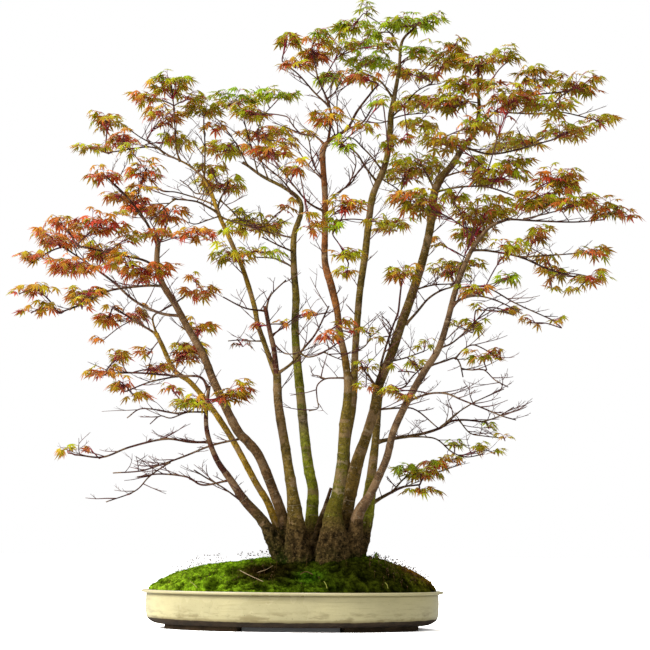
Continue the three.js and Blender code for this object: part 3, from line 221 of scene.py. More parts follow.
# A bough: the limb it grows from, its end's depth, its widths at start and end in pixels, and its
# points in pixels. Its first point lies on that limb, which also gives the depth there.
BOUGHS = {
    "left_low": ("red_front", -112, 3, 2, [
        (209, 442), (190, 442), (165, 439), (130, 447), (103, 457), (78, 455)]),
    "left_middle": ("red_front", -20, 3.4, 2, [
        (208, 388), (200, 377), (178, 376), (140, 373), (112, 373)]),
    "left_middle_fork": ("left_middle", -55, 2.2, 1.6, [(178, 376), (150, 382), (127, 391)]),
    "left_bare": ("red_front", -10, 2.6, 1.8, [
        (230, 480), (203, 485), (187, 477), (160, 474), (137, 477)]),
    "left_lowest": ("red_front", -90, 2.2, 1.6, [(250, 508), (225, 489), (205, 477), (194, 470)]),
    "yellow_left": ("yellow_back", 110, 3.6, 2, [(157, 335), (150, 330), (133, 320), (117, 309)]),
    "yellow_up": ("yellow_back", 50, 2.6, 1.6, [(156, 333), (153, 317), (165, 309), (182, 298)]),
    "brown_top_left": ("brown_left", -60, 4, 2, [
        (158, 245), (152, 233), (143, 217), (127, 197), (115, 185), (101, 172)]),
    "brown_top_right": ("brown_left", 30, 3.4, 2, [(158, 245), (163, 236), (167, 222)]),
    "brown_out_low": ("brown_left", 90, 4, 2.2, [
        (182, 316), (160, 313), (135, 301), (112, 281), (90, 265), (68, 250)]),
    "brown_out_front": ("brown_left", -110, 3.4, 2, [
        (164, 286), (143, 286), (108, 291), (85, 303), (64, 311)]),
    "brown_out_high": ("brown_left", -60, 3.4, 2, [(157, 268), (143, 260), (115, 254), (84, 247)]),
    "brown_bare": ("brown_left", 30, 2.8, 1.6, [
        (244, 438), (213, 445), (185, 456), (160, 465), (140, 471), (113, 473)]),
    "brown_bare_fork": ("brown_bare", -30, 2, 1.4, [
        (170, 462), (150, 476), (135, 491), (106, 502)]),
    "slender_fork": ("slender_left", 70, 3, 1.8, [(217, 209), (221, 198), (228, 184)]),
    "slender_out": ("slender_left", 120, 3, 1.8, [
        (204, 179), (190, 166), (170, 156), (150, 147), (112, 152)]),
    "slender_up": ("slender_out", 20, 2.4, 1.6, [(180, 161), (176, 148), (175, 130), (174, 112)]),
    "slender_top": ("slender_left", 90, 2.4, 1.6, [(204, 179), (205, 150), (204, 126)]),
    "stub_left": ("stub_red", -90, 2.4, 1.6, [(266, 311), (245, 308), (223, 297)]),
    "stub_right": ("stub_red", -75, 2.4, 1.6, [(266, 309), (271, 295), (286, 280)]),
    "red_right": ("olive_front", -100, 4, 1.8, [
        (277, 374), (292, 363), (304, 348), (316, 333), (329, 306)]),
    "green_mid": ("green_back", 30, 2.6, 1.6, [(294, 252), (280, 246), (262, 237)]),
    "green_high": ("green_back", 130, 2.4, 1.6, [(294, 238), (275, 234), (254, 228)]),
    "green_low": ("green_back", 110, 2.4, 1.6, [(294, 268), (277, 259), (254, 257)]),
    "orange_right": ("orange_front", -80, 2.6, 1.6, [
        (347, 129), (362, 123), (372, 108), (377, 99)]),
    "orange_up": ("orange_front", -30, 3.4, 1.8, [
        (328, 143), (331, 115), (326, 97), (318, 78), (313, 54)]),
    "orange_up_fork": ("orange_up", 20, 2, 1.4, [(327, 99), (335, 92), (340, 82)]),
    "orange_out": ("orange_up", -90, 2.6, 1.6, [(329, 106), (315, 93), (300, 76), (287, 65)]),
    "orange_red": ("orange_front", -110, 2.8, 1.8, [
        (325, 212), (309, 203), (295, 187), (280, 168)]),
    "olive_left": ("olive_back", 60, 3, 1.8, [(393, 98), (380, 81), (362, 72), (345, 60)]),
    "olive_top_left": ("olive_back", 150, 2, 1.4, [(401, 56), (394, 38), (380, 24), (368, 16)]),
    "olive_right": ("olive_back", 140, 2.4, 1.6, [(391, 118), (405, 104), (416, 92), (428, 85)]),
    "main_left_top": ("main_right", 60, 3, 1.8, [(435, 190), (423, 168), (414, 160)]),
    "main_high": ("main_right", -40, 2.6, 1.6, [(441, 178), (460, 172), (482, 171)]),
    "main_out": ("main_right", -90, 3, 1.8, [(435, 192), (460, 187), (487, 187), (518, 197)]),
    "main_short": ("main_right", 60, 2.4, 1.6, [(414, 290), (433, 285), (450, 284)]),
    "main_front": ("main_right", -60, 3.4, 2, [
        (406, 324), (417, 312), (428, 299), (440, 291), (452, 287)]),
    "main_low": ("main_right", 40, 2.2, 1.5, [(388, 362), (405, 358), (422, 352)]),
    "main_lower": ("main_right", -70, 2.2, 1.5, [(378, 390), (402, 388), (413, 376), (422, 368)]),
    "main_lowest": ("main_right", -20, 2.6, 1.5, [(374, 410), (400, 408), (416, 410), (438, 428)]),
    "main_side": ("main_right", -60, 3.4, 2.2, [(377, 396), (381, 365), (388, 340), (396, 318)]),
    "top_out": ("main_right", 90, 3.2, 1.8, [(464, 147), (490, 154), (520, 149), (548, 141)]),
    "top_right": ("main_right", 30, 3, 1.8, [(476, 130), (500, 108), (530, 96), (562, 92)]),
    "top_far": ("top_right", 130, 2.2, 1.6, [(496, 112), (540, 114), (560, 112), (592, 119)]),
    "right_low": ("brown_right", -130, 2.8, 1.5, [
        (409, 401), (421, 396), (434, 393), (448, 394), (462, 400), (480, 407), (502, 416),
        (516, 420)]),
    "right_mid": ("brown_right", -40, 2.6, 1.6, [
        (429, 366), (445, 361), (455, 358), (460, 364), (463, 377)]),
    "right_mid_fork": ("right_mid", -90, 2, 1.4, [
        (455, 359), (463, 350), (472, 345), (482, 348), (500, 359)]),
    "right_mid_low": ("right_mid", -120, 1.8, 1.3, [
        (462, 369), (472, 370), (484, 370), (495, 380), (508, 387)]),
    "right_high": ("brown_right", -20, 2.4, 1.6, [(440, 348), (452, 343), (467, 330), (484, 312)]),
    "right_red": ("brown_right", -140, 2, 1.4, [(452, 304), (467, 296), (478, 294)]),
    "right_fine": ("brown_right", -60, 2.2, 1.5, [(456, 288), (485, 287), (515, 303), (548, 318)]),
    "right_out": ("brown_right", -20, 3, 1.8, [
        (472, 250), (490, 251), (520, 257), (548, 269), (582, 279)]),
    "right_out_fork": ("right_out", -120, 2, 1.5, [(520, 257), (555, 255), (580, 253)]),
    "right_tip": ("brown_right", -60, 2.6, 1.6, [(508, 219), (540, 221), (575, 222), (600, 220)]),
    "right_tip_fork": ("right_tip", -150, 1.8, 1.4, [(524, 219), (545, 214), (564, 209)]),
    "green_far": ("green_right", 110, 5, 2.2, [
        (377, 442), (396, 438), (410, 436), (425, 433), (440, 428), (452, 421), (466, 420),
        (484, 422)]),
    "green_far_up": ("green_far", 40, 2, 1.3, [
        (441, 427), (456, 414), (473, 403), (488, 396), (504, 389)]),
    "green_far_low": ("green_far", 150, 1.8, 1.3, [(459, 420), (470, 433), (484, 436), (502, 438)]),
    "green_far_end": ("green_far", 90, 1.8, 1.3, [(482, 422), (497, 417), (514, 407)]),
    "green_under": ("green_far", 60, 2.2, 1.4, [
        (402, 437), (425, 437), (438, 440), (452, 452), (466, 457), (484, 454)]),
    "green_base": ("green_right", 60, 5.4, 2.2, [
        (370, 505), (379, 499), (390, 493), (403, 487), (417, 485)]),
    "green_base_fork": ("green_base", 120, 2.4, 1.5, [
        (392, 492), (408, 476), (430, 474), (456, 466)]),
    "red_bare": ("red_front", -60, 2.2, 1.4, [
        (206, 412), (190, 412), (175, 413), (158, 410), (140, 409), (127, 418)]),
    "red_bare_low": ("red_bare", -80, 1.8, 1.2, [(186, 412), (171, 418), (160, 416), (150, 424)]),
    "slender_bare": ("slender_left", -30, 3, 1.8, [
        (217, 212), (208, 207), (198, 202), (186, 200), (172, 199)]),
    "slender_bare_end": ("slender_bare", -60, 1.8, 1.3, [(175, 199), (165, 207), (153, 218)]),
    "slender_bare_high": ("slender_left", 90, 2.2, 1.4, [
        (214, 205), (205, 201), (190, 196), (175, 192), (162, 191), (155, 184)]),
    "slender_bare_mid": ("slender_left", 110, 2, 1.3, [
        (211, 195), (203, 194), (195, 193), (188, 186), (180, 180)]),
    "slender_bare_low": ("slender_left", -10, 1.8, 1.2, [
        (220, 216), (208, 220), (196, 224), (187, 222)]),
    "slender_out_up": ("slender_out", 60, 2, 1.4, [(165, 154), (152, 144), (140, 137), (130, 130)]),
    "slender_right": ("slender_left", 0, 2, 1.4, [(221, 217), (234, 222), (246, 225), (262, 228)]),
    "slender_fork_out": ("slender_fork", 110, 2, 1.4, [
        (220, 200), (230, 209), (240, 219), (254, 225)]),
    "slender_withered": ("slender_left", -40, 1.8, 1.3, [
        (264, 341), (252, 341), (240, 340), (228, 341)]),
    "green_parallel": ("green_back", 60, 2.4, 1.6, [
        (300, 203), (292, 192), (280, 178), (268, 168), (258, 158)]),
    "green_fan_left": ("green_back", 140, 1.8, 1.3, [
        (248, 166), (238, 147), (228, 132), (218, 120)]),
    "green_fan_mid": ("green_back", 60, 1.8, 1.3, [(258, 174), (252, 150), (246, 128), (242, 110)]),
    "green_fan_right": ("green_back", 90, 1.8, 1.3, [
        (268, 179), (260, 155), (258, 135), (262, 118), (274, 104)]),
    "orange_side": ("orange_front", -10, 2.6, 1.5, [
        (325, 208), (334, 196), (346, 187), (352, 182), (358, 172), (365, 164), (370, 157)]),
    "orange_side_up": ("orange_side", -60, 1.7, 1.3, [
        (349, 184), (354, 172), (356, 162), (354, 154)]),
    "orange_left": ("orange_front", -20, 2.4, 1.5, [
        (324, 144), (315, 136), (302, 134), (295, 128), (290, 121)]),
    "orange_left_up": ("orange_front", -90, 1.8, 1.4, [
        (323, 178), (317, 171), (312, 160), (310, 146), (308, 135)]),
    "orange_left_low": ("orange_front", -20, 1.8, 1.3, [
        (323, 180), (313, 170), (304, 159), (295, 145)]),
    "orange_thin": ("orange_front", -70, 1.6, 1.2, [(338, 134), (337, 115), (338, 95), (346, 86)]),
    "orange_hanging": ("orange_front", -90, 2.2, 1.2, [
        (346, 378), (336, 378), (325, 379), (317, 386), (317, 398), (318, 408), (309, 411)]),
    "orange_hanging_fork": ("orange_hanging", -60, 1.4, 1.1, [(325, 379), (319, 376), (312, 375)]),
    "olive_arc": ("olive_back", 20, 2.8, 1.7, [
        (377, 182), (366, 168), (358, 155), (350, 148), (342, 145), (332, 144)]),
    "olive_arc_high": ("olive_back", 40, 2.4, 1.5, [
        (382, 170), (370, 155), (362, 147), (354, 139), (345, 137)]),
    "olive_right_low": ("olive_back", 160, 2, 1.4, [(391, 119), (405, 115), (425, 113)]),
    "olive_left_low": ("olive_back", 60, 1.6, 1.2, [(391, 120), (380, 123), (366, 122)]),
    "olive_down": ("olive_back", 130, 1.8, 1.3, [(380, 178), (396, 188), (410, 199)]),
    "olive_small": ("olive_back", 0, 1.8, 1.3, [(356, 352), (366, 345), (370, 336), (364, 330)]),
    "red_loop": ("red_right", -110, 2.2, 1.4, [
        (300, 353), (308, 357), (320, 354), (332, 347), (340, 341)]),
    "red_loop_low": ("red_loop", -60, 1.6, 1.2, [(324, 352), (332, 356), (342, 360)]),
    "stub_out": ("stub_red", -20, 2.2, 1.3, [
        (271, 336), (282, 328), (292, 320), (302, 317), (318, 315)]),
    "stub_low": ("stub_red", -80, 2, 1.4, [(273, 343), (284, 353), (296, 354)]),
    "main_left_low": ("main_right", -60, 3.2, 1.8, [
        (378, 389), (370, 378), (364, 370), (361, 363)]),
    "main_left_mid": ("main_right", -30, 2, 1.4, [(391, 356), (389, 340), (391, 328), (386, 319)]),
    "right_fine_low": ("brown_right", -130, 3, 1.3, [
        (450, 311), (460, 300), (478, 296), (500, 302), (522, 314)]),
}

# A spray's leaf pads: pixel x and y of the middle, half width and half height in pixels, depth in
# millimetres, tint.
SPRAYS = [
    [(68, 452, 9, 4, -114, "orange"), (91, 450, 6, 3, -100, "red")],
    [(104, 373, 17, 8, -20, "red"), (122, 384, 10, 8, -60, "red"),
     (136, 396, 10, 7, -30, "orange")],
    [(117, 357, 12, 9, 30, "orange"), (148, 353, 9, 7, 70, "red"), (160, 368, 16, 7, 5, "red")],
    [(187, 350, 17, 17, 100, "orange"), (200, 325, 16, 9, 130, "orange")],
    [(236, 390, 16, 14, -95, "orange"), (194, 405, 18, 10, -110, "gold"),
     (172, 389, 8, 5, -90, "orange"), (243, 345, 5, 6, -40, "withered")],
    [(36, 258, 16, 8, 60, "red"), (23, 257, 5, 3, 40, "red"), (60, 240, 24, 14, 110, "red"),
     (44, 232, 11, 5, 60, "orange")],
    [(72, 266, 26, 13, 40, "red"), (102, 250, 18, 12, -10, "orange"),
     (106, 268, 14, 5, -20, "red")],
    [(100, 222, 28, 13, -100, "red"), (62, 222, 14, 8, -60, "red"),
     (128, 237, 13, 6, -70, "orange")],
    [(148, 271, 26, 13, -70, "red"), (125, 262, 12, 9, -110, "orange")],
    [(40, 290, 17, 7, -150, "red"), (19, 293, 6, 4, -140, "red"), (50, 307, 13, 6, -120, "orange"),
     (31, 312, 6, 4, -130, "red")],
    [(86, 293, 20, 10, -60, "orange"), (82, 307, 8, 8, -90, "red")],
    [(108, 315, 12, 16, 120, "orange"), (134, 314, 13, 12, 150, "red"),
     (100, 341, 5, 6, 110, "red")],
    [(117, 199, 13, 8, -20, "red"), (104, 174, 15, 9, -70, "red"), (141, 203, 17, 15, 60, "red"),
     (145, 170, 16, 13, 40, "orange"), (138, 190, 14, 5, 0, "orange")],
    [(167, 215, 17, 14, 20, "red"), (157, 233, 12, 8, -60, "orange"),
     (197, 236, 19, 9, -110, "red")],
    [(200, 292, 21, 8, 50, "red"), (193, 279, 7, 5, 80, "orange")],
    [(131, 150, 13, 5, 70, "olive"), (122, 136, 14, 11, 80, "orange"),
     (107, 118, 17, 10, 150, "olive"), (90, 147, 18, 6, 120, "olive")],
    [(148, 97, 16, 9, -40, "orange"), (172, 86, 20, 13, 0, "olive"),
     (166, 77, 10, 5, -10, "green")],
    [(163, 114, 22, 10, 70, "orange"), (172, 140, 19, 9, 110, "olive"),
     (190, 97, 14, 7, 20, "olive")],
    [(205, 107, 23, 12, 60, "olive"), (238, 98, 28, 9, 110, "green"),
     (280, 96, 20, 8, 60, "green")],
    [(266, 134, 28, 10, 120, "orange"), (286, 143, 12, 6, 100, "orange"),
     (305, 134, 8, 4, -20, "olive"), (225, 148, 24, 11, 150, "olive"),
     (214, 128, 10, 6, 80, "orange")],
    [(268, 151, 21, 10, -60, "orange"), (250, 113, 21, 9, -10, "gold")],
    [(222, 183, 26, 10, 90, "gold"), (212, 167, 17, 6, 120, "gold")],
    [(235, 254, 26, 10, -20, "olive"), (272, 252, 9, 5, -50, "green"),
     (232, 233, 10, 5, 0, "olive")],
    [(258, 225, 30, 12, 150, "olive"), (287, 205, 12, 5, 130, "orange"),
     (243, 213, 9, 5, 120, "gold")],
    [(296, 168, 11, 10, -120, "orange"), (310, 226, 10, 9, -130, "orange")],
    [(329, 336, 11, 7, -115, "red"), (342, 322, 9, 5, -90, "orange"), (352, 332, 5, 5, -70, "red"),
     (308, 315, 7, 5, -60, "red"), (283, 325, 6, 4, -50, "orange"), (259, 325, 6, 6, -50, "red")],
    [(287, 38, 12, 9, -90, "olive"), (296, 66, 15, 8, -110, "orange")],
    [(315, 48, 14, 19, -20, "orange"), (330, 76, 14, 10, 40, "green"),
     (342, 46, 18, 9, 20, "olive"), (318, 32, 10, 8, -30, "green")],
    [(352, 27, 18, 12, 160, "green"), (367, 9, 9, 7, 140, "green")],
    [(370, 60, 26, 9, 40, "green"), (376, 31, 12, 6, 130, "green"), (362, 42, 11, 5, 80, "green"),
     (416, 56, 8, 6, 90, "olive"), (360, 77, 20, 9, -30, "red"), (384, 43, 12, 8, 20, "olive")],
    [(407, 22, 29, 11, 110, "green"), (420, 49, 14, 9, 60, "green"),
     (434, 20, 10, 7, 100, "green")],
    [(448, 55, 19, 18, 150, "olive"), (402, 70, 10, 13, 180, "orange"),
     (424, 74, 14, 6, 160, "olive"), (458, 42, 9, 5, 120, "olive")],
    [(328, 118, 17, 11, -70, "orange"), (343, 144, 9, 8, -90, "green"),
     (360, 126, 14, 5, -110, "orange"), (378, 105, 8, 9, -130, "green"),
     (388, 141, 8, 9, -100, "orange"), (404, 138, 8, 7, -60, "orange"),
     (404, 106, 8, 7, -60, "olive")],
    [(420, 99, 18, 10, 190, "gold"), (418, 123, 21, 8, 170, "gold")],
    [(452, 98, 25, 16, 20, "olive"), (478, 62, 20, 12, 60, "orange"),
     (504, 58, 16, 10, 10, "olive"), (488, 84, 15, 8, -30, "orange"), (464, 82, 15, 8, 0, "olive")],
    [(512, 95, 28, 16, -60, "red"), (533, 71, 16, 10, 0, "orange"), (547, 85, 12, 6, 20, "red")],
    [(578, 84, 26, 13, 60, "orange"), (550, 106, 26, 11, -20, "olive")],
    [(600, 121, 19, 7, 140, "orange"), (566, 130, 29, 11, 100, "olive"),
     (517, 141, 25, 13, 150, "gold"), (497, 151, 12, 5, 120, "gold")],
    [(447, 139, 29, 11, -80, "gold"), (477, 124, 20, 10, -120, "orange")],
    [(413, 166, 34, 16, 100, "olive"), (391, 226, 20, 12, 140, "olive")],
    [(498, 174, 32, 13, -60, "orange"), (557, 175, 25, 13, -110, "red"),
     (514, 160, 18, 5, -60, "olive"), (470, 162, 14, 7, -20, "olive")],
    [(420, 200, 27, 15, -90, "orange"), (403, 271, 14, 11, -90, "orange")],
    [(485, 208, 32, 18, 80, "gold"), (456, 196, 14, 7, 0, "olive"),
     (470, 232, 19, 16, 120, "olive"), (449, 268, 20, 12, 100, "gold"),
     (470, 264, 14, 5, 80, "olive"), (438, 242, 10, 6, 60, "olive")],
    [(537, 199, 21, 15, -130, "red"), (562, 190, 22, 5, -120, "red"),
     (576, 202, 19, 12, -160, "red"), (508, 248, 19, 8, -150, "orange")],
    [(608, 210, 17, 12, -80, "red"), (627, 216, 7, 4, -80, "red"),
     (538, 232, 16, 8, -40, "orange")],
    [(590, 277, 17, 8, -20, "red"), (554, 272, 13, 10, 40, "orange"),
     (552, 289, 7, 4, 30, "orange"), (577, 290, 8, 4, 0, "orange"), (592, 252, 16, 8, -120, "red"),
     (546, 256, 13, 5, -20, "orange")],
    [(347, 204, 20, 9, -120, "orange"), (336, 225, 8, 12, -110, "green"),
     (346, 256, 14, 7, -110, "olive"), (346, 275, 8, 9, -100, "gold"),
     (376, 220, 9, 5, -80, "olive")],
    [(509, 311, 9, 6, 10, "red"), (483, 309, 8, 4, 20, "orange"), (473, 326, 11, 7, 50, "orange"),
     (454, 324, 5, 5, 40, "orange"), (475, 290, 14, 7, -140, "orange")],
    [(556, 322, 6, 5, -60, "orange"), (530, 321, 7, 6, -20, "red"),
     (509, 277, 11, 7, -90, "green")],
    [(482, 356, 13, 7, -90, "orange"), (498, 350, 5, 5, -90, "red"),
     (425, 346, 9, 5, 50, "orange")],
    [(396, 389, 10, 7, -100, "olive"), (405, 396, 8, 5, -100, "orange"),
     (366, 386, 9, 4, -60, "orange"), (367, 366, 9, 5, -50, "orange"),
     (380, 337, 6, 5, -30, "orange"), (367, 332, 6, 4, 0, "orange"), (414, 364, 9, 5, 20, "orange"),
     (398, 370, 5, 5, -50, "orange")],
    [(424, 474, 19, 9, 60, "olive"), (406, 469, 12, 7, 50, "green"), (437, 464, 14, 10, 80, "red"),
     (453, 460, 9, 6, 100, "olive"), (478, 449, 9, 7, 100, "orange"),
     (495, 453, 7, 4, 110, "orange"), (489, 427, 6, 6, 110, "green"),
     (505, 439, 5, 6, 140, "orange"), (455, 444, 9, 4, 60, "green"),
     (420, 491, 20, 4, 60, "olive")],
]


def colour(red, green, blue):
    """A linear colour from screen values of 0 to 255."""
    def linear(value):
        share = value / 255
        return share / 12.92 if share <= 0.04045 else ((share + 0.055) / 1.055) ** 2.4
    return (linear(red), linear(green), linear(blue), 1.0)


BARK_TONES = {
    "dark_red": colour(104, 58, 42),
    "yellow": colour(198, 156, 46),
    "tan": colour(148, 112, 72),
    "olive": colour(138, 114, 46),
    "green_olive": colour(122, 116, 30),
    "moss_green": colour(162, 168, 40),
    "orange": colour(164, 100, 50),
    "olive_brown": colour(128, 102, 42),
    "brown": colour(130, 100, 70),
    "dark_base": colour(84, 62, 34),
    "grey_brown": colour(128, 98, 64),
    "pale": colour(158, 136, 98),
    "lime": colour(150, 152, 38),
}
# Bands of another tone on a stem: pixel y, reach in pixels and tone.
BARK_BANDS = {
    "green_back": [(345, 45, "lime"), (416, 14, "pale")],
    "orange_front": [(425, 26, "olive"), (262, 10, "grey_brown")],
    "olive_front": [(410, 30, "grey_brown")],
}
BOUGH_TONE = colour(86, 46, 38)
RIDGE_TONE = colour(128, 102, 62)
DAMP_MOSS_TONE = colour(48, 66, 14)
TWIG_TONES = [colour(92, 52, 46), colour(110, 62, 56), colour(84, 38, 36), colour(116, 84, 72)]
YOUNG_TONES = [colour(166, 30, 58), colour(186, 44, 70), colour(136, 36, 46)]

# A leaf's tones near its stalk, and at its lobes' tips.
LEAF_TONES = {
    "red": (
        [colour(216, 100, 36), colour(222, 70, 48), colour(204, 150, 34), colour(176, 50, 44)],
        [colour(212, 40, 48), colour(184, 32, 44), colour(228, 72, 54)],
    ),
    "orange": (
        [colour(206, 168, 30), colour(208, 108, 34), colour(188, 176, 26), colour(192, 84, 38)],
        [colour(208, 62, 44), colour(182, 48, 42), colour(188, 84, 42)],
    ),
    "gold": (
        [colour(204, 204, 24), colour(182, 192, 20), colour(208, 170, 30)],
        [colour(174, 80, 36), colour(164, 112, 26), colour(172, 58, 38)],
    ),
    "olive": (
        [colour(176, 190, 18), colour(194, 194, 22), colour(140, 168, 12)],
        [colour(146, 66, 34), colour(138, 106, 22), colour(162, 62, 38)],
    ),
    "green": (
        [colour(148, 184, 16), colour(172, 198, 26), colour(126, 164, 16)],
        [colour(156, 176, 26), colour(150, 166, 22), colour(184, 122, 36), colour(132, 158, 20)],
    ),
    "withered": (
        [colour(84, 56, 44), colour(58, 46, 42)],
        [colour(48, 42, 42), colour(120, 60, 40)],
    ),
}
# The shares of the tints in a pad of each tint, on the left and in the middle, and far right.
TINT_SHARES = {
    "red": (("red", 0.62), ("orange", 0.28), ("gold", 0.1)),
    "orange": (("orange", 0.46), ("red", 0.26), ("gold", 0.28)),
    "gold": (("gold", 0.6), ("olive", 0.25), ("orange", 0.15)),
    "olive": (("olive", 0.55), ("gold", 0.25), ("orange", 0.2)),
    "green": (("green", 0.8), ("olive", 0.2)),
    "withered": (("withered", 1.0),),
}
RIGHT_TINT_SHARES = {
    "red": (("red", 0.25), ("orange", 0.3), ("gold", 0.25), ("olive", 0.2)),
    "orange": (("orange", 0.35), ("gold", 0.3), ("olive", 0.35)),
}
# What the tones of the leaves at the top and at the bottom of a pad lean to: a painted yellow-green
# highlight at the top and painted dark red shade at the bottom.
TOP_HIGHLIGHT_TONE = colour(194, 208, 22)
LOW_SHADE_TONE = colour(134, 40, 34)
# How much darker the leaves' undersides are painted, as painted shade.
UNDERSIDE_SHADE = 0.8
# How far right of the pot's middle the tints of the far right start.
RIGHT_TINTS_FROM = 90 * MM

# ---------------------------------------------------------------- settings in the sidebar


class PotSettings(bpy.types.PropertyGroup):
    glaze: bpy.props.FloatVectorProperty(
        name="Glaze", description="Colour of the cream glaze", subtype="COLOR", size=4,
        min=0, max=1, default=colour(222, 212, 162))
    clay: bpy.props.FloatVectorProperty(
        name="Clay", description="Colour of the unglazed foot", subtype="COLOR", size=4,
        min=0, max=1, default=colour(62, 48, 32))


class MossSettings(bpy.types.PropertyGroup):
    bright: bpy.props.FloatVectorProperty(
        name="Bright moss", description="Colour of the lit, growing moss", subtype="COLOR", size=4,
        min=0, max=1, default=colour(170, 222, 40))
    # The dark moss colour is painted shade: towards the right end the moss is blended to it from
    # the lit colour.
    dark: bpy.props.FloatVectorProperty(
        name="Dark moss", description="Colour of the moss in its hollows", subtype="COLOR", size=4,
        min=0, max=1, default=colour(74, 76, 18))
    tufts: bpy.props.IntProperty(
        name="Tufts", description="Number of moss tufts", min=0, default=9400)
    tuft_height: bpy.props.FloatProperty(
        name="Tuft height", description="Height of a moss tuft", subtype="DISTANCE", unit="LENGTH",
        min=0.001, default=3.0 * MM)
    spore_stalks: bpy.props.IntProperty(
        name="Spore stalks", description="Number of spore stalks", min=0, default=1500)


class TreeSettings(bpy.types.PropertyGroup):
    twig_spacing: bpy.props.FloatProperty(
        name="Twig spacing", description="Distance between bare twigs along a bough",
        subtype="DISTANCE", unit="LENGTH", min=0.005, default=15 * MM)
    twig_length: bpy.props.FloatProperty(
        name="Twig length", description="Usual length of a bare twig", subtype="DISTANCE",
        unit="LENGTH", min=0.005, default=40 * MM)


class LeafSettings(bpy.types.PropertyGroup):
    length: bpy.props.FloatProperty(
        name="Leaf length", description="Length of a leaf's middle lobe", subtype="DISTANCE",
        unit="LENGTH", min=0.005, default=16.4 * MM)
    share: bpy.props.FloatProperty(
        name="Area for a leaf",
        description="Area of a pad's outline, in square pixels, for one leaf", min=4, default=16.5)


class StageSettings(bpy.types.PropertyGroup):
    key_power: bpy.props.FloatProperty(
        name="Key light", description="Power of the large light at the front left", min=0,
        default=120)
    sky: bpy.props.FloatProperty(
        name="Sky", description="Strength of the even light all round", min=0, default=0.33)


# ---------------------------------------------------------------- small tools


def only(made):
    """Deselects everything but one object and makes it the active one."""
    bpy.ops.object.select_all(action="DESELECT")
    made.select_set(True)
    bpy.context.view_layer.objects.active = made


def finish_piece(made, slot, *nodes):
    """Attaches a finished piece to the root body and hides the solids it stands for. Its slot is
    not used.
    """
    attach(made, "root")
    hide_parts(*nodes)


def dress(made, material):
    """Gives an object one material in place of those it has."""
    made.data.materials.clear()
    made.data.materials.append(material)


def set_tones(made, tones):
    """Stores a tone at each point of a piece."""
    attribute = made.data.color_attributes.new(name="tone", type="FLOAT_COLOR", domain="POINT")
    attribute.data.foreach_set("color", tones.astype(np.float32).ravel())


def places_of(made):
    return np.array([vertex.co[:] for vertex in made.data.vertices])


def blend(tones, other, weight):
    """Tones mixed with others by a weight."""
    return np.array(tones) * (1 - weight) + np.array(other) * weight


def pick(draw, tones):
    return np.array(tones[draw.integers(len(tones))])


def unit(vector):
    return vector / max(np.linalg.norm(vector), 1e-12)


def up(height):
    return np.array((0, 0, height))


def level_way(angle):
    return np.array((math.cos(angle), math.sin(angle), 0))


def swung(way, angle):
    """A level direction turned by an angle."""
    return np.array((
        way[0] * math.cos(angle) - way[1] * math.sin(angle),
        way[0] * math.sin(angle) + way[1] * math.cos(angle), 0))


def distances(path):
    """The distance of each point of a path from its start, along it."""
    return np.concatenate([[0], np.cumsum(np.linalg.norm(np.diff(path, axis=0), axis=1))])


def smooth_path(points, values, step):
    """Samples a smooth curve through the points about every step, with values carried along."""
    points = np.asarray(points, float)
    values = np.asarray(values, float).reshape(len(points), -1)
    padded = np.vstack([2 * points[0] - points[1], points, 2 * points[-1] - points[-2]])
    path = []
    carried = []
    for i in range(len(points) - 1):
        before, start, end, after = padded[i:i + 4]
        count = max(1, int(round(np.linalg.norm(end - start) / step)))
        t = (np.arange(count) / count)[:, None]
        pull = (end - before) / 2
        push = (after - start) / 2
        path.append((2 * start - 2 * end + pull + push) * t ** 3
                    + (3 * end - 3 * start - 2 * pull - push) * t ** 2 + pull * t + start)
        carried.append(values[i] * (1 - t) + values[i + 1] * t)
    path.append(points[-1:])
    carried.append(values[-1:])
    return np.vstack(path), np.vstack(carried)


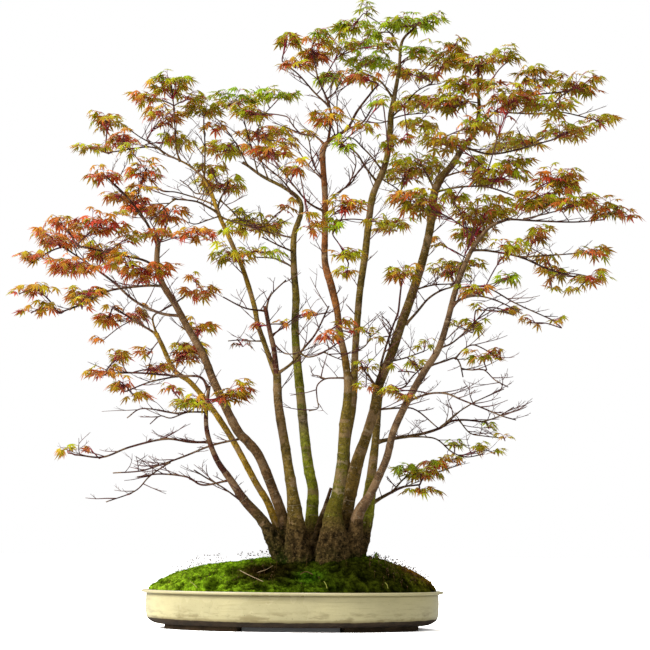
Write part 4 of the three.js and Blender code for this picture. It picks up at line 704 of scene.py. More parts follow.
class Shape:
    """Gathers many small forms into one mesh, with a tone or two at each point."""

    def __init__(self, *tones):
        self.points = []
        self.corners = []
        self.sizes = []
        self.uvs = []
        self.slots = []
        self.tones = {name: [] for name in tones}
        self.count = 0

    def add(self, points, corners, sizes, uvs, tones, slot=0):
        """Adds a form. Each of its tones is a single one or one for each point."""
        self.points.append(points)
        self.corners.append(np.asarray(corners) + self.count)
        self.sizes.append(sizes)
        self.uvs.append(uvs)
        self.slots.append(np.full(len(sizes), slot))
        for name, tone in tones.items():
            self.tones[name].append(np.broadcast_to(tone, (len(points), 4)))
        self.count += len(points)

    def tube(self, path, radii, sides, tones, start=0.0):
        """A closed tube of rings. Its UVs are the share round it and the metres along it."""
        path = np.asarray(path)
        radii = np.broadcast_to(np.asarray(radii, float).ravel(), (len(path),))
        along = np.gradient(path, axis=0)
        along /= np.linalg.norm(along, axis=1)[:, None]
        side = np.array((1.0, 0, 0)) if abs(along[0][0]) < 0.8 else np.array((0, 1.0, 0))
        frames = np.empty((len(path), 3))
        for i, way in enumerate(along):
            side = unit(side - way * side.dot(way))
            frames[i] = side
        fronts = np.cross(along, frames)
        angles = 2 * math.pi * np.arange(sides) / sides
        ring = (np.cos(angles)[None, :, None] * frames[:, None, :]
                + np.sin(angles)[None, :, None] * fronts[:, None, :])
        points = (path[:, None, :] + radii[:, None, None] * ring).reshape(-1, 3)
        rows = len(path)
        first = np.arange(rows - 1)[:, None] * sides + np.arange(sides)[None, :]
        second = np.arange(rows - 1)[:, None] * sides + (np.arange(sides)[None, :] + 1) % sides
        quads = np.stack([first, second, second + sides, first + sides], axis=-1).reshape(-1)
        length = start + distances(path)
        low = np.broadcast_to(length[:-1, None], (rows - 1, sides))
        high = np.broadcast_to(length[1:, None], (rows - 1, sides))
        left = np.broadcast_to(np.arange(sides)[None, :] / sides, (rows - 1, sides))
        right = left + 1 / sides
        uvs = np.stack([
            np.stack([left, low], -1), np.stack([right, low], -1),
            np.stack([right, high], -1), np.stack([left, high], -1),
        ], axis=2).reshape(-1, 2)
        start_cap = np.arange(sides)[::-1]
        end_cap = (rows - 1) * sides + np.arange(sides)
        corners = np.concatenate([quads, start_cap, end_cap])
        sizes = np.concatenate([np.full((rows - 1) * sides, 4), [sides, sides]]).astype(int)
        uvs = np.vstack([uvs, np.zeros((2 * sides, 2))])
        spread = {}
        for name, tone in tones.items():
            tone = np.asarray(tone, float)
            spread[name] = np.repeat(tone, sides, axis=0) if tone.ndim == 2 else tone
        self.add(points, corners, sizes, uvs, spread)

    def build(self, name, materials, smooth=True):
        """Makes one object of all the forms, with its UVs, tones and materials."""
        mesh = bpy.data.meshes.new(name)
        points = np.vstack(self.points)
        corners = np.concatenate(self.corners).astype(np.int32)
        sizes = np.concatenate(self.sizes)
        starts = np.concatenate([[0], np.cumsum(sizes)[:-1]]).astype(np.int32)
        mesh.vertices.add(len(points))
        mesh.vertices.foreach_set("co", points.astype(np.float32).ravel())
        mesh.loops.add(len(corners))
        mesh.loops.foreach_set("vertex_index", corners)
        mesh.polygons.add(len(sizes))
        mesh.polygons.foreach_set("loop_start", starts)
        mesh.update(calc_edges=True)
        mesh.polygons.foreach_set("material_index", np.concatenate(self.slots).astype(np.int32))
        layer = mesh.uv_layers.new(name="along")
        layer.data.foreach_set("uv", np.vstack(self.uvs).astype(np.float32).ravel())
        for tone, parts in self.tones.items():
            attribute = mesh.color_attributes.new(name=tone, type="FLOAT_COLOR", domain="POINT")
            attribute.data.foreach_set("color", np.vstack(parts).astype(np.float32).ravel())
        mesh.polygons.foreach_set("use_smooth", np.full(len(sizes), smooth))
        for material in materials:
            mesh.materials.append(material)
        mesh.validate()
        made = bpy.data.objects.new(name, mesh)
        bpy.context.scene.collection.objects.link(made)
        return made


# ---------------------------------------------------------------- materials


class Finish:
    """A new material's node tree, with short calls for the nodes used here."""

    def __init__(self, name, roughness=0.6, **settings):
        self.material = bpy.data.materials.new(name)
        self.material.use_nodes = True
        self.nodes = self.material.node_tree.nodes
        self.links = self.material.node_tree.links
        self.shader = self.nodes["Principled BSDF"]
        self.shader.inputs["Roughness"].default_value = roughness
        for socket, value in settings.items():
            self.shader.inputs[socket.replace("_", " ")].default_value = value
        self.place = self.node("ShaderNodeTexCoord").outputs["Object"]

    def node(self, kind, inputs=None, **settings):
        made = self.nodes.new(kind)
        for name, value in settings.items():
            setattr(made, name, value)
        for socket, value in (inputs or {}).items():
            if isinstance(value, bpy.types.NodeSocket):
                self.links.new(value, made.inputs[socket])
            else:
                made.inputs[socket].default_value = value
        return made

    def noise(self, scale, detail=3, roughness=0.55, place=None, distortion=0):
        made = self.node("ShaderNodeTexNoise", {
            "Vector": place or self.place, "Scale": scale, "Detail": detail,
            "Roughness": roughness, "Distortion": distortion,
        })
        return made.outputs["Fac"]

    def tone(self, name):
        return self.node("ShaderNodeVertexColor", layer_name=name).outputs["Color"]

    def ramp(self, factor, *stops):
        """Two tones or greys, each at its place, with an even change between them."""
        made = self.node("ShaderNodeValToRGB", {"Fac": factor})
        for element, (place, tone) in zip(made.color_ramp.elements, stops):
            element.position = place
            element.color = tone if isinstance(tone, tuple) else (tone, tone, tone, 1)
        return made.outputs["Color"]

    def steps(self, value, low, high):
        """Nought at the first value and one at the second, with a smooth change between them."""
        return self.node("ShaderNodeMapRange", {"Value": value, "From Min": low, "From Max": high},
                         interpolation_type="SMOOTHSTEP").outputs["Result"]

    def mix(self, factor, first, second, mode="MIX"):
        return self.node("ShaderNodeMix", {0: factor, 6: first, 7: second},
                         data_type="RGBA", blend_type=mode).outputs[2]

    def maths(self, operation, first, second=0.0, clamp=False):
        return self.node("ShaderNodeMath", {0: first, 1: second},
                         operation=operation, use_clamp=clamp).outputs[0]

    def times(self, first, second):
        return self.maths("MULTIPLY", first, second)

    def sway(self, scale, detail, reach):
        """Noise that wanders to both sides of nought."""
        return self.times(self.maths("SUBTRACT", self.noise(scale, detail), 0.5), reach)

    def stain(self, base, weight, strength, tint):
        """A colour stained with a tint, as far as a weight says."""
        return self.mix(self.times(weight, strength), base, tint)

    def darken(self, base, share, shades):
        return self.mix(share, base, shades, "MULTIPLY")

    def stretched(self, scale):
        return self.node("ShaderNodeMapping", {
            "Vector": self.place, "Scale": scale}).outputs["Vector"]

    def split(self, vector):
        return self.node("ShaderNodeSeparateXYZ", {"Vector": vector}).outputs

    def uv(self):
        return self.split(self.node("ShaderNodeUVMap", uv_map="along").outputs["UV"])

    def colour(self, value):
        self.links.new(value, self.shader.inputs["Base Color"])

    def gloss(self, value):
        self.links.new(value, self.shader.inputs["Roughness"])

    def bump(self, height, distance, strength=0.6):
        made = self.node("ShaderNodeBump", {
            "Height": height, "Distance": distance, "Strength": strength})
        self.links.new(made.outputs["Normal"], self.shader.inputs["Normal"])


def shade(tone, share):
    """A tone made darker or lighter by a share."""
    return tuple(min(1.0, channel * share) for channel in tone[:3]) + (1.0,)


def bare_clay(made, clay):
    """The colour of unglazed stoneware, grainy and a little stained."""
    base = made.mix(made.steps(made.noise(60, 4), 0.3, 0.7), shade(clay, 0.6), shade(clay, 1.3))
    grit = made.steps(made.noise(900, 2), 0.6, 0.7)
    return made.stain(base, grit, 0.4, colour(130, 106, 80))


def pot_finish(cream, clay):
    """Cream stoneware glaze with faint clouds, streaks, specks and crazing, over bare dark clay.

    The glaze stops at a slightly wavy line that rises towards the pot's ends, and is thin and brown
    just above that line. Painted shadow darkens the groove under the lip and the lip's lower edge,
    painted shade darkens the right half towards its end, and a painted highlight pales the lip's
    top, fading to the right.
    """
    made = Finish("cream_glaze", roughness=0.3)
    across, _, height = made.split(made.place)
    clouds = made.noise(9, 4)
    base = made.mix(made.steps(clouds, 0.34, 0.68), shade(cream, 0.8), shade(cream, 1.05))
    streaks = made.steps(made.noise(3, 4, 0.6, made.stretched((5, 5, 90))), 0.5, 0.72)
    base = made.stain(base, streaks, 0.3, colour(150, 136, 84))
    length = made.maths("SUBTRACT", across, POT_X)
    rise = made.times(made.times(length, length), 0.05)
    wander = made.sway(34, 3, 0.0035)
    level = made.maths("ADD", made.maths("SUBTRACT", height, rise), wander)
    runny = made.steps(level, GLAZE_BOTTOM + 5 * MM, GLAZE_BOTTOM)
    base = made.stain(base, runny, 0.55, colour(140, 120, 70))
    # Painted shadow: a dark band over the groove under the lip and the lip's lower edge, where the
    # overhang shades the wall.
    groove = made.steps(height, *GROOVE_SHADOW_HEIGHTS)
    lip = made.steps(height, *LIP_HEIGHTS)
    dark = made.maths("SUBTRACT", groove, lip, clamp=True)
    base = made.stain(base, dark, 0.65, colour(96, 84, 46))
    # Painted shade: the glaze grows darker from the middle to the right end, away from the light.
    right_end_shade = made.steps(length, 0.0, 0.2)
    base = made.stain(base, right_end_shade, 0.42, shade(colour(206, 198, 140), 0.62))
    low = made.maths("ADD", made.times(made.steps(height, *SMEAR_HEIGHTS), 0.5), 0.08)
    smears = made.steps(made.noise(2.2, 4, 0.62, made.stretched((16, 16, 60))), 0.46, 0.66)
    base = made.stain(base, smears, low, colour(128, 108, 60))
    # Painted highlight: the top of the lip is paler, at half strength up to the middle and fading
    # out towards the right end.
    lip_highlight = made.steps(made.maths("ADD", height, wander), *LIP_HIGHLIGHT_HEIGHTS)
    lip_highlight_strength = made.maths("SUBTRACT", 0.5, made.times(right_end_shade, 0.5))
    base = made.stain(base, lip_highlight, lip_highlight_strength, colour(236, 220, 186))
    specks = made.steps(made.noise(420, 2), 0.68, 0.76)
    base = made.stain(base, specks, 0.5, colour(112, 88, 52))
    cells = made.node("ShaderNodeTexVoronoi", {"Vector": made.place, "Scale": 150},
                      feature="DISTANCE_TO_EDGE").outputs["Distance"]
    base = made.stain(base, made.steps(cells, 0.03, 0.0), 0.12, colour(140, 120, 80))
    glazed = made.steps(level, GLAZE_BOTTOM - 0.3 * MM, GLAZE_BOTTOM + 0.3 * MM)
    made.colour(made.mix(glazed, bare_clay(made, clay), base))
    made.gloss(made.mix(glazed, (0.85, 0.85, 0.85, 1), made.ramp(clouds, (0.3, 0.22), (0.7, 0.38))))
    grain = made.times(made.noise(700, 3), made.maths("SUBTRACT", 1.0, glazed))
    made.bump(made.maths("ADD", made.times(made.noise(90, 2), 0.5), grain), 0.0005, 0.4)
    return made.material


def clay_finish(clay):
    """Bare dark stoneware of the foot."""
    made = Finish("bare_clay", roughness=0.95, Specular_IOR_Level=0.3)
    made.colour(bare_clay(made, clay))
    made.bump(made.noise(700, 3), 0.0005, 0.6)
    return made.material


def moss_finish():
    """Velvety moss, from the tone at each point, with painted shade in its noise-drawn hollows and
    in the fine gaps between its paler tips.
    """
    made = Finish("moss", roughness=1.0, Specular_IOR_Level=0.0)
    base = made.tone("tone")
    # Painted shade: fine noise darkens the gaps between the moss's tips.
    fine = made.steps(made.noise(900, 3), 0.3, 0.7)
    base = made.darken(base, 0.9, made.ramp(fine, (0, 0.25), (1, 1.0)))
    # Painted shade: coarser noise darkens the moss in its hollows.
    hollows = made.ramp(made.noise(150, 5, 0.7), (0.38, 0.12), (0.58, 1.0))
    made.colour(made.darken(base, 0.9, hollows))
    made.bump(made.noise(700, 4), 0.0016, 0.9)
    return made.material


def earth_finish():
    """Dark crumbly soil with paler grains."""
    made = Finish("earth", roughness=1.0)
    grains = made.node("ShaderNodeTexVoronoi", {"Vector": made.place, "Scale": 340})
    tint = made.node("ShaderNodeSeparateColor", {"Color": grains.outputs["Color"]}).outputs["Red"]
    made.colour(made.ramp(tint, (0.1, colour(34, 24, 16)), (0.9, colour(92, 70, 48))))
    made.bump(made.noise(420, 4), 0.002, 0.8)
    return made.material


def bark_finish():
    """Smooth bark in each stem's own tone, with pale rings, bands, blotches and corky specks."""
    made = Finish("bark", roughness=0.8, Specular_IOR_Level=0.12)
    base = made.tone("tone")
    clouds = made.noise(42, 5, 0.66)
    base = made.darken(base, 1.0, made.ramp(clouds, (0.34, 0.34), (0.6, 1.0)))
    grain = made.ramp(made.noise(300, 5, 0.66), (0.38, 0.4), (0.58, 1.0))
    base = made.darken(base, 0.95, grain)
    length = made.uv()["Y"]
    slow = made.node("ShaderNodeTexNoise", {"W": length, "Scale": 24, "Detail": 2},
                     noise_dimensions="1D").outputs["Fac"]
    wander = made.maths("ADD", made.times(slow, 0.07), made.sway(160, 3, 0.0045))
    along = made.maths("ADD", length, wander)
    band = made.steps(made.maths("PINGPONG", along, 0.034), 0.018, 0.022)
    band = made.times(band, made.steps(made.noise(60, 4), 0.42, 0.54))
    base = made.stain(base, band, 0.62, colour(144, 116, 84))
    ring = made.steps(made.maths("PINGPONG", along, 0.0115), 0.0012, 0.0003)
    broken = made.steps(made.noise(48, 3), 0.4, 0.56)
    ring = made.times(ring, made.times(broken, 0.55))
    base = made.mix(ring, base, colour(172, 150, 118))
    lichen = made.steps(made.noise(210, 5, 0.7), 0.58, 0.66)
    base = made.stain(base, lichen, 0.45, colour(172, 160, 134))
    specks = made.steps(made.noise(700, 2), 0.62, 0.7)
    made.colour(made.stain(base, specks, 0.4, colour(190, 168, 132)))
    made.bump(made.maths("ADD", made.noise(230, 5, 0.65), made.times(ring, 0.8)), 0.0018, 1.0)
    return made.material


def root_finish():
    """Old rough bark of the root base: fissures darkened by the bark's own darker tone and painted
    shade, between paler corky ridges.
    """
    made = Finish("old_bark", roughness=1.0, Specular_IOR_Level=0.04)
    height = made.maths("ADD", made.split(made.place)["Z"], made.sway(60, 3, 0.06))
    old = made.steps(height, *OLD_BARK_HEIGHTS)
    cracks = made.noise(150, 6, 0.74, made.stretched((1, 1, 1.5)), 0.3)
    # The fissures are darkened where the cracks sink: the bark's darker tone there, and painted
    # shade.
    dark = made.ramp(cracks, (0.38, 0.16), (0.58, 1.0))
    base = made.darken(made.tone("tone"), made.maths("ADD", made.times(old, 0.75), 0.25), dark)
    base = made.darken(base, 0.9, made.ramp(made.noise(480, 4, 0.62), (0.34, 0.5), (0.62, 1.0)))
    crust = made.times(made.steps(made.noise(240, 4), 0.56, 0.64), old)
    made.colour(made.stain(base, crust, 0.22, colour(164, 136, 92)))
    made.bump(cracks, 0.0045, 1.0)
    return made.material


def twig_finish():
    """Thin shiny bark of the fine twigs and leaf stalks, in the tone of each."""
    made = Finish("twig_bark", roughness=0.6, Specular_IOR_Level=0.2)
    grain = made.ramp(made.noise(300, 3), (0.3, 0.6), (0.7, 1.0))
    made.colour(made.darken(made.tone("tone"), 0.7, grain))
    made.bump(made.noise(500, 3), 0.0003, 0.5)
    return made.material


def leaf_finish():
    """Young maple leaf: greener at its heart and redder to the tips, with fine veins."""
    made = Finish("maple_leaf", roughness=0.5, Specular_IOR_Level=0.12, Subsurface_Weight=0.3,
                  Subsurface_Scale=0.001, Subsurface_Radius=(2.5, 1.6, 0.4))
    far, from_rib, _ = made.uv()
    reach = made.maths("ADD", far, made.sway(160, 3, 0.5))
    base = made.mix(made.steps(reach, 0.12, 0.85), made.tone("tone"), made.tone("tip"))
    base = made.darken(base, 0.7, made.ramp(made.noise(420, 3), (0.32, 0.6), (0.66, 1.0)))
    rib = made.steps(from_rib, 0.14, 0.02)
    made.colour(made.stain(base, rib, 0.25, colour(206, 150, 80)))
    made.bump(rib, 0.0002, 0.5)
    return made.material


# ---------------------------------------------------------------- pot


class BONSAI_OT_pot(bpy.types.Operator):
    """Adds the oval glazed pot with its lip, drain holes and unglazed foot"""
    bl_idname = "bonsai.pot"
    bl_label = "Pot"

    def execute(self, context):
        settings = context.scene.bonsai_pot
        body = self.bowl()
        self.drain(body)
        dress(body, pot_finish(tuple(settings.glaze), tuple(settings.clay)))
        only(body)
        bpy.ops.object.shade_smooth_by_angle(angle=math.radians(38))
        finish_piece(body, "glaze", "pot")
        foot = self.foot()
        dress(foot, clay_finish(tuple(settings.clay)))
        finish_piece(foot, "glaze", "pot")
        return {"FINISHED"}

    def half_sizes(self, inset):
        return RIM_HALF_LENGTH - inset * MM, RIM_HALF_WIDTH - inset * MM

    def resize(self, inset, next_inset, height):
        """Scales what is selected from one inset of the rim's oval to another."""
        length, width = self.half_sizes(inset)
        next_length, next_width = self.half_sizes(next_inset)
        bpy.ops.transform.resize(value=(next_length / length, next_width / width, 1),
                                 center_override=(POT_X, POT_Y, height))

    def oval(self, name, inset, height, fill):
        """An oval in edit mode, all selected."""
        bpy.ops.object.select_all(action="DESELECT")
        bpy.ops.mesh.primitive_circle_add(
            vertices=POT_SIDES, radius=1, fill_type=fill, location=(POT_X, POT_Y, height))
        made = bpy.context.object
        made.name = made.data.name = name
        bpy.ops.object.transform_apply(location=True, rotation=True, scale=True)
        bpy.ops.object.mode_set(mode="EDIT")
        bpy.ops.mesh.select_all(action="SELECT")
        bpy.ops.transform.resize(value=(*self.half_sizes(inset), 1),
                                 center_override=(POT_X, POT_Y, height))
        return made

    def close(self):
        """Leaves edit mode with the faces turned outward and the origin at the frame's."""
        bpy.ops.mesh.select_all(action="SELECT")
        bpy.ops.mesh.normals_make_consistent(inside=False)
        bpy.ops.object.mode_set(mode="OBJECT")
        bpy.context.scene.cursor.location = (0, 0, 0)
        bpy.ops.object.origin_set(type="ORIGIN_CURSOR")

    def bowl(self):
        """An oval drawn up and in through the outline's levels, by extrusion and scaling."""
        height, inset = POT_OUTLINE[0]
        body = self.oval("pot_body", inset, height * MM, "NGON")
        for next_height, next_inset in POT_OUTLINE[1:]:
            bpy.ops.mesh.extrude_region_move(
                TRANSFORM_OT_translate={"value": (0, 0, (next_height - height) * MM)})
            self.resize(inset, next_inset, next_height * MM)
            height, inset = next_height, next_inset
        self.close()
        return body

    def drain(self, body):
        """Cuts the two drain holes through the floor."""
        for side in (-1, 1):
            bpy.ops.mesh.primitive_cylinder_add(
                vertices=48, radius=DRAIN_RADIUS * MM, depth=40 * MM,
                location=(POT_X + side * DRAIN_PLACE * MM, POT_Y, 10 * MM))
            cutter = bpy.context.object
            only(body)
            cut = body.modifiers.new("drain", "BOOLEAN")
            cut.operation = "DIFFERENCE"
            cut.object = cutter
            bpy.ops.object.modifier_apply(modifier="drain")
            bpy.data.objects.remove(cutter)

    def foot(self):
        """The foot's four parts: an oval band, cut by its gaps and drawn down to the ground."""
        top = FOOT_HEIGHT + FOOT_OVERLAP
        foot = self.oval("pot_foot", FOOT_INSET, top, "NOTHING")
        bpy.ops.mesh.extrude_edges_move()
        self.resize(FOOT_INSET, FOOT_INSET + FOOT_WALL, top)
        bpy.ops.mesh.select_mode(type="FACE")
        bpy.ops.object.mode_set(mode="OBJECT")
        for face in foot.data.polygons:
            x = abs(face.center.x - POT_X)
            y = abs(face.center.y - POT_Y)
            face.select = x < FOOT_GAP_FRONT * MM / 2 or y < FOOT_GAP_END * MM / 2
        bpy.ops.object.mode_set(mode="EDIT")
        bpy.ops.mesh.delete(type="FACE")
        bpy.ops.mesh.select_all(action="SELECT")
        bpy.ops.mesh.extrude_region_move(TRANSFORM_OT_translate={"value": (0, 0, -top)})
        self.close()
        only(foot)
        edge = foot.modifiers.new("soft_edges", "BEVEL")
        edge.width = 0.8 * MM
        edge.segments = 2
        edge.limit_method = "ANGLE"
        bpy.ops.object.modifier_apply(modifier="soft_edges")
        bpy.ops.object.shade_smooth_by_angle(angle=math.radians(40))
        return foot


# ---------------------------------------------------------------- soil and moss


def mound_height(x, y):
    """The mound's plain height at a place measured from the pot's middle."""
    share = np.hypot(x / (RIM_HALF_LENGTH - 10 * MM), y / (RIM_HALF_WIDTH - 10 * MM))
    inside = np.minimum(share, 1)
    rise = (MOUND_RISE - MOSS_EDGE) * (1 - inside ** MOUND_POWER)
    right = np.clip((x - 0.03) / 0.06, 0, 1) * RIGHT_CUSHION
    left = np.clip((-x - 0.08) / 0.06, 0, 1) * LEFT_CUSHION
    return RIM_HEIGHT + (MOSS_EDGE + rise + (right + left) * (1 - inside ** 9)) * MM


def moss_bumps(x, y):
    """Rounded moss cushions of several sizes, in metres."""
    place = Vector((x, y, 0))
    large = 1 - abs(noise.noise(place * 42)) * 2.2
    middle = 1 - abs(noise.noise(place * 100 + Vector((3, 7, 0)))) * 2.2
    small = noise.noise(place * 300)
    return (3.0 * large + 1.9 * middle + 0.8 * small - 2.4) * MM


def on_mound(pixel_x, pixel_y):
    """The first place on the mound that a traced pixel meets, from the front."""
    for depth in range(-150, 151, 2):
        place = at(pixel_x, pixel_y, depth)
        if place[2] <= mound_height(place[0] - POT_X, place[1] - POT_Y):
            return place
    return at(pixel_x, pixel_y, 0)


# Patches that tint the moss: pixel x and y, radius in millimetres, strength, colour.
MOSS_PATCHES = [
    (200, 578, 60, 0.5, colour(178, 226, 44)),
    (165, 584, 45, 0.5, colour(196, 226, 66)),
    (250, 586, 50, 0.35, colour(140, 176, 36)),
    (262, 572, 30, 0.95, colour(84, 44, 24)),
    (284, 569, 34, 0.9, colour(64, 40, 20)),
    (298, 562, 36, 0.9, colour(50, 42, 18)),
    (345, 566, 50, 0.9, colour(48, 40, 14)),
    (254, 571, 40, 0.9, colour(64, 42, 20)),
    (284, 575, 34, 0.9, colour(52, 36, 16)),
    (300, 585, 60, 0.6, colour(56, 66, 16)),
    (310, 578, 16, 0.7, colour(104, 176, 30)),
    (338, 588, 22, 0.4, colour(92, 124, 22)),
    (385, 577, 48, 0.9, colour(46, 42, 12)),
    (350, 580, 40, 0.6, colour(54, 56, 14)),
    (414, 574, 24, 0.85, colour(190, 120, 44)),
    (420, 585, 26, 0.7, colour(120, 118, 34)),
    (432, 580, 24, 0.8, colour(196, 160, 56)),
    (360, 588, 30, 0.3, colour(100, 110, 26)),
]

# Straws and a fallen twig on the moss: three pixels along each, radius in millimetres, colour.
STRAWS = [
    ((240, 573), (250, 579), (263, 584), 0.42, colour(206, 180, 140)),
    ((257, 575), (266, 573), (273, 568), 0.4, colour(190, 164, 124)),
    ((324, 584), (326, 588), (327, 591), 0.5, colour(176, 180, 80)),
    ((190, 584), (193, 587), (197, 590), 0.5, colour(176, 176, 76)),
    ((385, 585), (387, 588), (388, 591), 0.5, colour(170, 170, 76)),
    ((300, 577), (306, 575), (313, 577), 0.6, colour(110, 78, 48)),
]
SPRIG_PIXEL = (376, 560)


def moss_tones(places, settings):
    """The moss's tone at each place: darker to the right as painted shade, and tinted by the
    patches.
    """
    share = np.clip((places[:, 0] - POT_X + 0.06) / 0.2, 0, 1)[:, None] * 0.8
    speckle = np.array([noise.noise(Vector(place) * 60) for place in places])[:, None]
    tones = blend(settings.bright, settings.dark, share) * (1 + 0.35 * speckle)
    for pixel_x, pixel_y, radius, strength, patch in MOSS_PATCHES:
        middle = on_mound(pixel_x, pixel_y)
        away = np.linalg.norm(places[:, :2] - middle[:2], axis=1) / (radius * MM)
        tones = blend(tones, patch, (strength * np.exp(-away ** 2))[:, None])
    tones[:, 3] = 1
    return np.clip(tones, 0, 1)


class BONSAI_OT_moss(bpy.types.Operator):
    """Adds the moss carpet with its tufts, spore stalks, fallen twigs and straws"""
    bl_idname = "bonsai.moss"
    bl_label = "Moss and soil"

    def execute(self, context):
        settings = context.scene.bonsai_moss
        dress(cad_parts["soil"], earth_finish())
        moss = moss_finish()
        self.carpet(settings, moss)
        self.tufts(settings, moss)
        self.litter(settings)
        return {"FINISHED"}

    def surface(self, x, y):
        return mound_height(x, y) + moss_bumps(x, y)

    def carpet(self, settings, moss):
        """A grid bent to the pot's oval and raised over the mound, with its edge turned down."""
        bpy.ops.object.select_all(action="DESELECT")
        bpy.ops.mesh.primitive_grid_add(x_subdivisions=250, y_subdivisions=180, size=2)
        carpet = bpy.context.object
        carpet.name = carpet.data.name = "moss_carpet"
        length = RIM_HALF_LENGTH - MOSS_INSET * MM
        width = RIM_HALF_WIDTH - MOSS_INSET * MM
        for vertex in carpet.data.vertices:
            x, y = vertex.co.x, vertex.co.y
            across = x * math.sqrt(1 - y * y / 2) * length
            back = y * math.sqrt(1 - x * x / 2) * width
            vertex.co = (POT_X + across, POT_Y + back, self.surface(across, back))
        bpy.ops.object.mode_set(mode="EDIT")
        bpy.ops.mesh.select_all(action="SELECT")
        bpy.ops.mesh.region_to_loop()
        bpy.ops.mesh.extrude_edges_move(TRANSFORM_OT_translate={"value": (0, 0, -MOSS_DEPTH * MM)})
        bpy.ops.mesh.edge_face_add()
        bpy.ops.mesh.select_all(action="SELECT")
        bpy.ops.mesh.normals_make_consistent(inside=False)
        bpy.ops.object.mode_set(mode="OBJECT")
        only(carpet)
        bpy.ops.object.shade_smooth()
        places = places_of(carpet)
        tones = moss_tones(places, settings)
        # Painted shade and light: points low between the moss cushions are darkened and high ones
        # lightened.
        bumps = np.array([moss_bumps(x - POT_X, y - POT_Y) for x, y, _ in places])
        tones[:, :3] *= np.clip(0.7 + bumps / BUMP_DEPTH, 0.2, 1.25)[:, None]
        set_tones(carpet, tones)
        carpet.data.materials.append(moss)
        finish_piece(carpet, "moss", "moss")

    def scattered(self, draw, count):
        """Places spread evenly over the carpet, up to just inside its edge."""
        angle = draw.uniform(0, 2 * math.pi, count)
        share = np.sqrt(draw.uniform(0, 1, count)) * 0.99
        x = np.cos(angle) * share * (RIM_HALF_LENGTH - MOSS_INSET * MM)
        y = np.sin(angle) * share * (RIM_HALF_WIDTH - MOSS_INSET * MM)
        z = np.array([self.surface(a, b) for a, b in zip(x, y)])
        return np.stack([x + POT_X, y + POT_Y, z], axis=1)

    def tufts(self, settings, moss):
        """Star-like tufts of a few three-sided blades each, all over the carpet."""
        draw = np.random.default_rng(11)
        places = self.scattered(draw, settings.tufts)
        tones = moss_tones(places, settings)
        shape = Shape("tone")
        faces = np.array([0, 1, 3, 1, 2, 3, 2, 0, 3, 0, 2, 1])
        corners = (faces[None, :] + 4 * np.arange(TUFT_BLADES)[:, None]).ravel()
        sizes = np.full(4 * TUFT_BLADES, 3)
        for place, tone in zip(places, tones):
            height = settings.tuft_height * draw.uniform(0.55, 1.15)
            turn = draw.uniform(0, 6.3)
            glow = draw.uniform(0.6, 1.5)
            points = []
            for i in range(TUFT_BLADES):
                angle = turn + i * 2 * math.pi / TUFT_BLADES + draw.uniform(-0.3, 0.3)
                lean = level_way(angle)
                flank = np.array((-lean[1], lean[0], 0))
                out = 0.9 * draw.uniform(0.25, 1)
                root = place + lean * 0.35 * MM - up(0.4 * MM)
                tip = place + lean * height * out + up(height * draw.uniform(0.55, 1))
                points += [root - flank * 0.36 * MM, root + flank * 0.36 * MM,
                           root + lean * 0.5 * MM, tip]
            # Painted shade and light: tufts low between the moss cushions are darkened and high
            # ones lightened.
            bump_shading = moss_bumps(place[0] - POT_X, place[1] - POT_Y) / BUMP_DEPTH
            tinted = np.clip(tone * glow * min(max(0.7 + bump_shading, 0.2), 1.3), 0, 1)
            tinted[3] = 1
            shape.add(np.array(points), corners, sizes, np.zeros((12 * TUFT_BLADES, 2)),
                      {"tone": tinted})
        finish_piece(shape.build("moss_tufts", [moss], smooth=False), "moss", "moss")

    def litter(self, settings):
        """Spore stalks with their capsules, a fallen twig, a few straws and a sprig."""
        draw = np.random.default_rng(5)
        shape = Shape("tone")
        for place in self.scattered(draw, settings.spore_stalks):
            self.spore_stalk(shape, draw, place)
        for first, second, third, radius, tone in STRAWS:
            points = [on_mound(*pixel) + up(3.4 * MM) for pixel in (first, second, third)]
            points[1] = points[1] + up(1.2 * MM)
            path, _ = smooth_path(points, [0, 0, 0], 3 * MM)
            shape.tube(path, radius * MM, 5, {"tone": tone})
        self.sprig(shape)
        finish_piece(shape.build("moss_litter", [twig_finish()]), "moss", "moss")

    def spore_stalk(self, shape, draw, place):
        """A thin stalk with a nodding capsule, where one grows: mostly near the right end."""
        side = (place[0] - POT_X) / RIM_HALF_LENGTH
        chance = 0.8 if side > 0.5 else 0.3 if -0.8 < side < -0.1 else 0.03
        if draw.uniform() > chance:
            return
        height = draw.uniform(6, 15) * MM * (0.75 if side > 0.5 else 1)
        sway = np.array((draw.uniform(-0.4, 0.4), draw.uniform(-0.4, 0.4), 0)) * height
        tip = place + sway + up(height)
        middle = place + 0.3 * sway + up(0.55 * height)
        path, _ = smooth_path([place, middle, tip], [0, 0, 0], 3 * MM)
        shape.tube(path, 0.09 * MM, 3, {"tone": colour(130, 92, 50)})
        droop = tip + np.array((draw.choice((-1, 1)), draw.uniform(-1, 1), -0.7)) * 1.5 * MM
        capsule = np.stack([tip, tip * 0.5 + droop * 0.5, droop])
        shape.tube(capsule, np.array((0.35, 0.75, 0.3)) * MM, 5, {"tone": colour(84, 58, 34)})

    def sprig(self, shape):
        """A small tuft of thick pale shoots beside the root base."""
        foot = on_mound(*SPRIG_PIXEL)
        for i in range(14):
            ring = i % 5
            out = level_way(GOLDEN_TURN * i) * (0.5 + 0.3 * ring) * MM * 2.4
            tip = foot + out + up((11 - 1.6 * ring) * MM)
            path, radii = smooth_path([foot + 0.2 * out, (foot + tip) / 2 + 0.1 * out, tip],
                                      [0.3 * MM, 0.5 * MM, 0.7 * MM], 3 * MM)
            shape.tube(path, radii, 4, {"tone": colour(150, 190, 50)})


# ---------------------------------------------------------------- tree


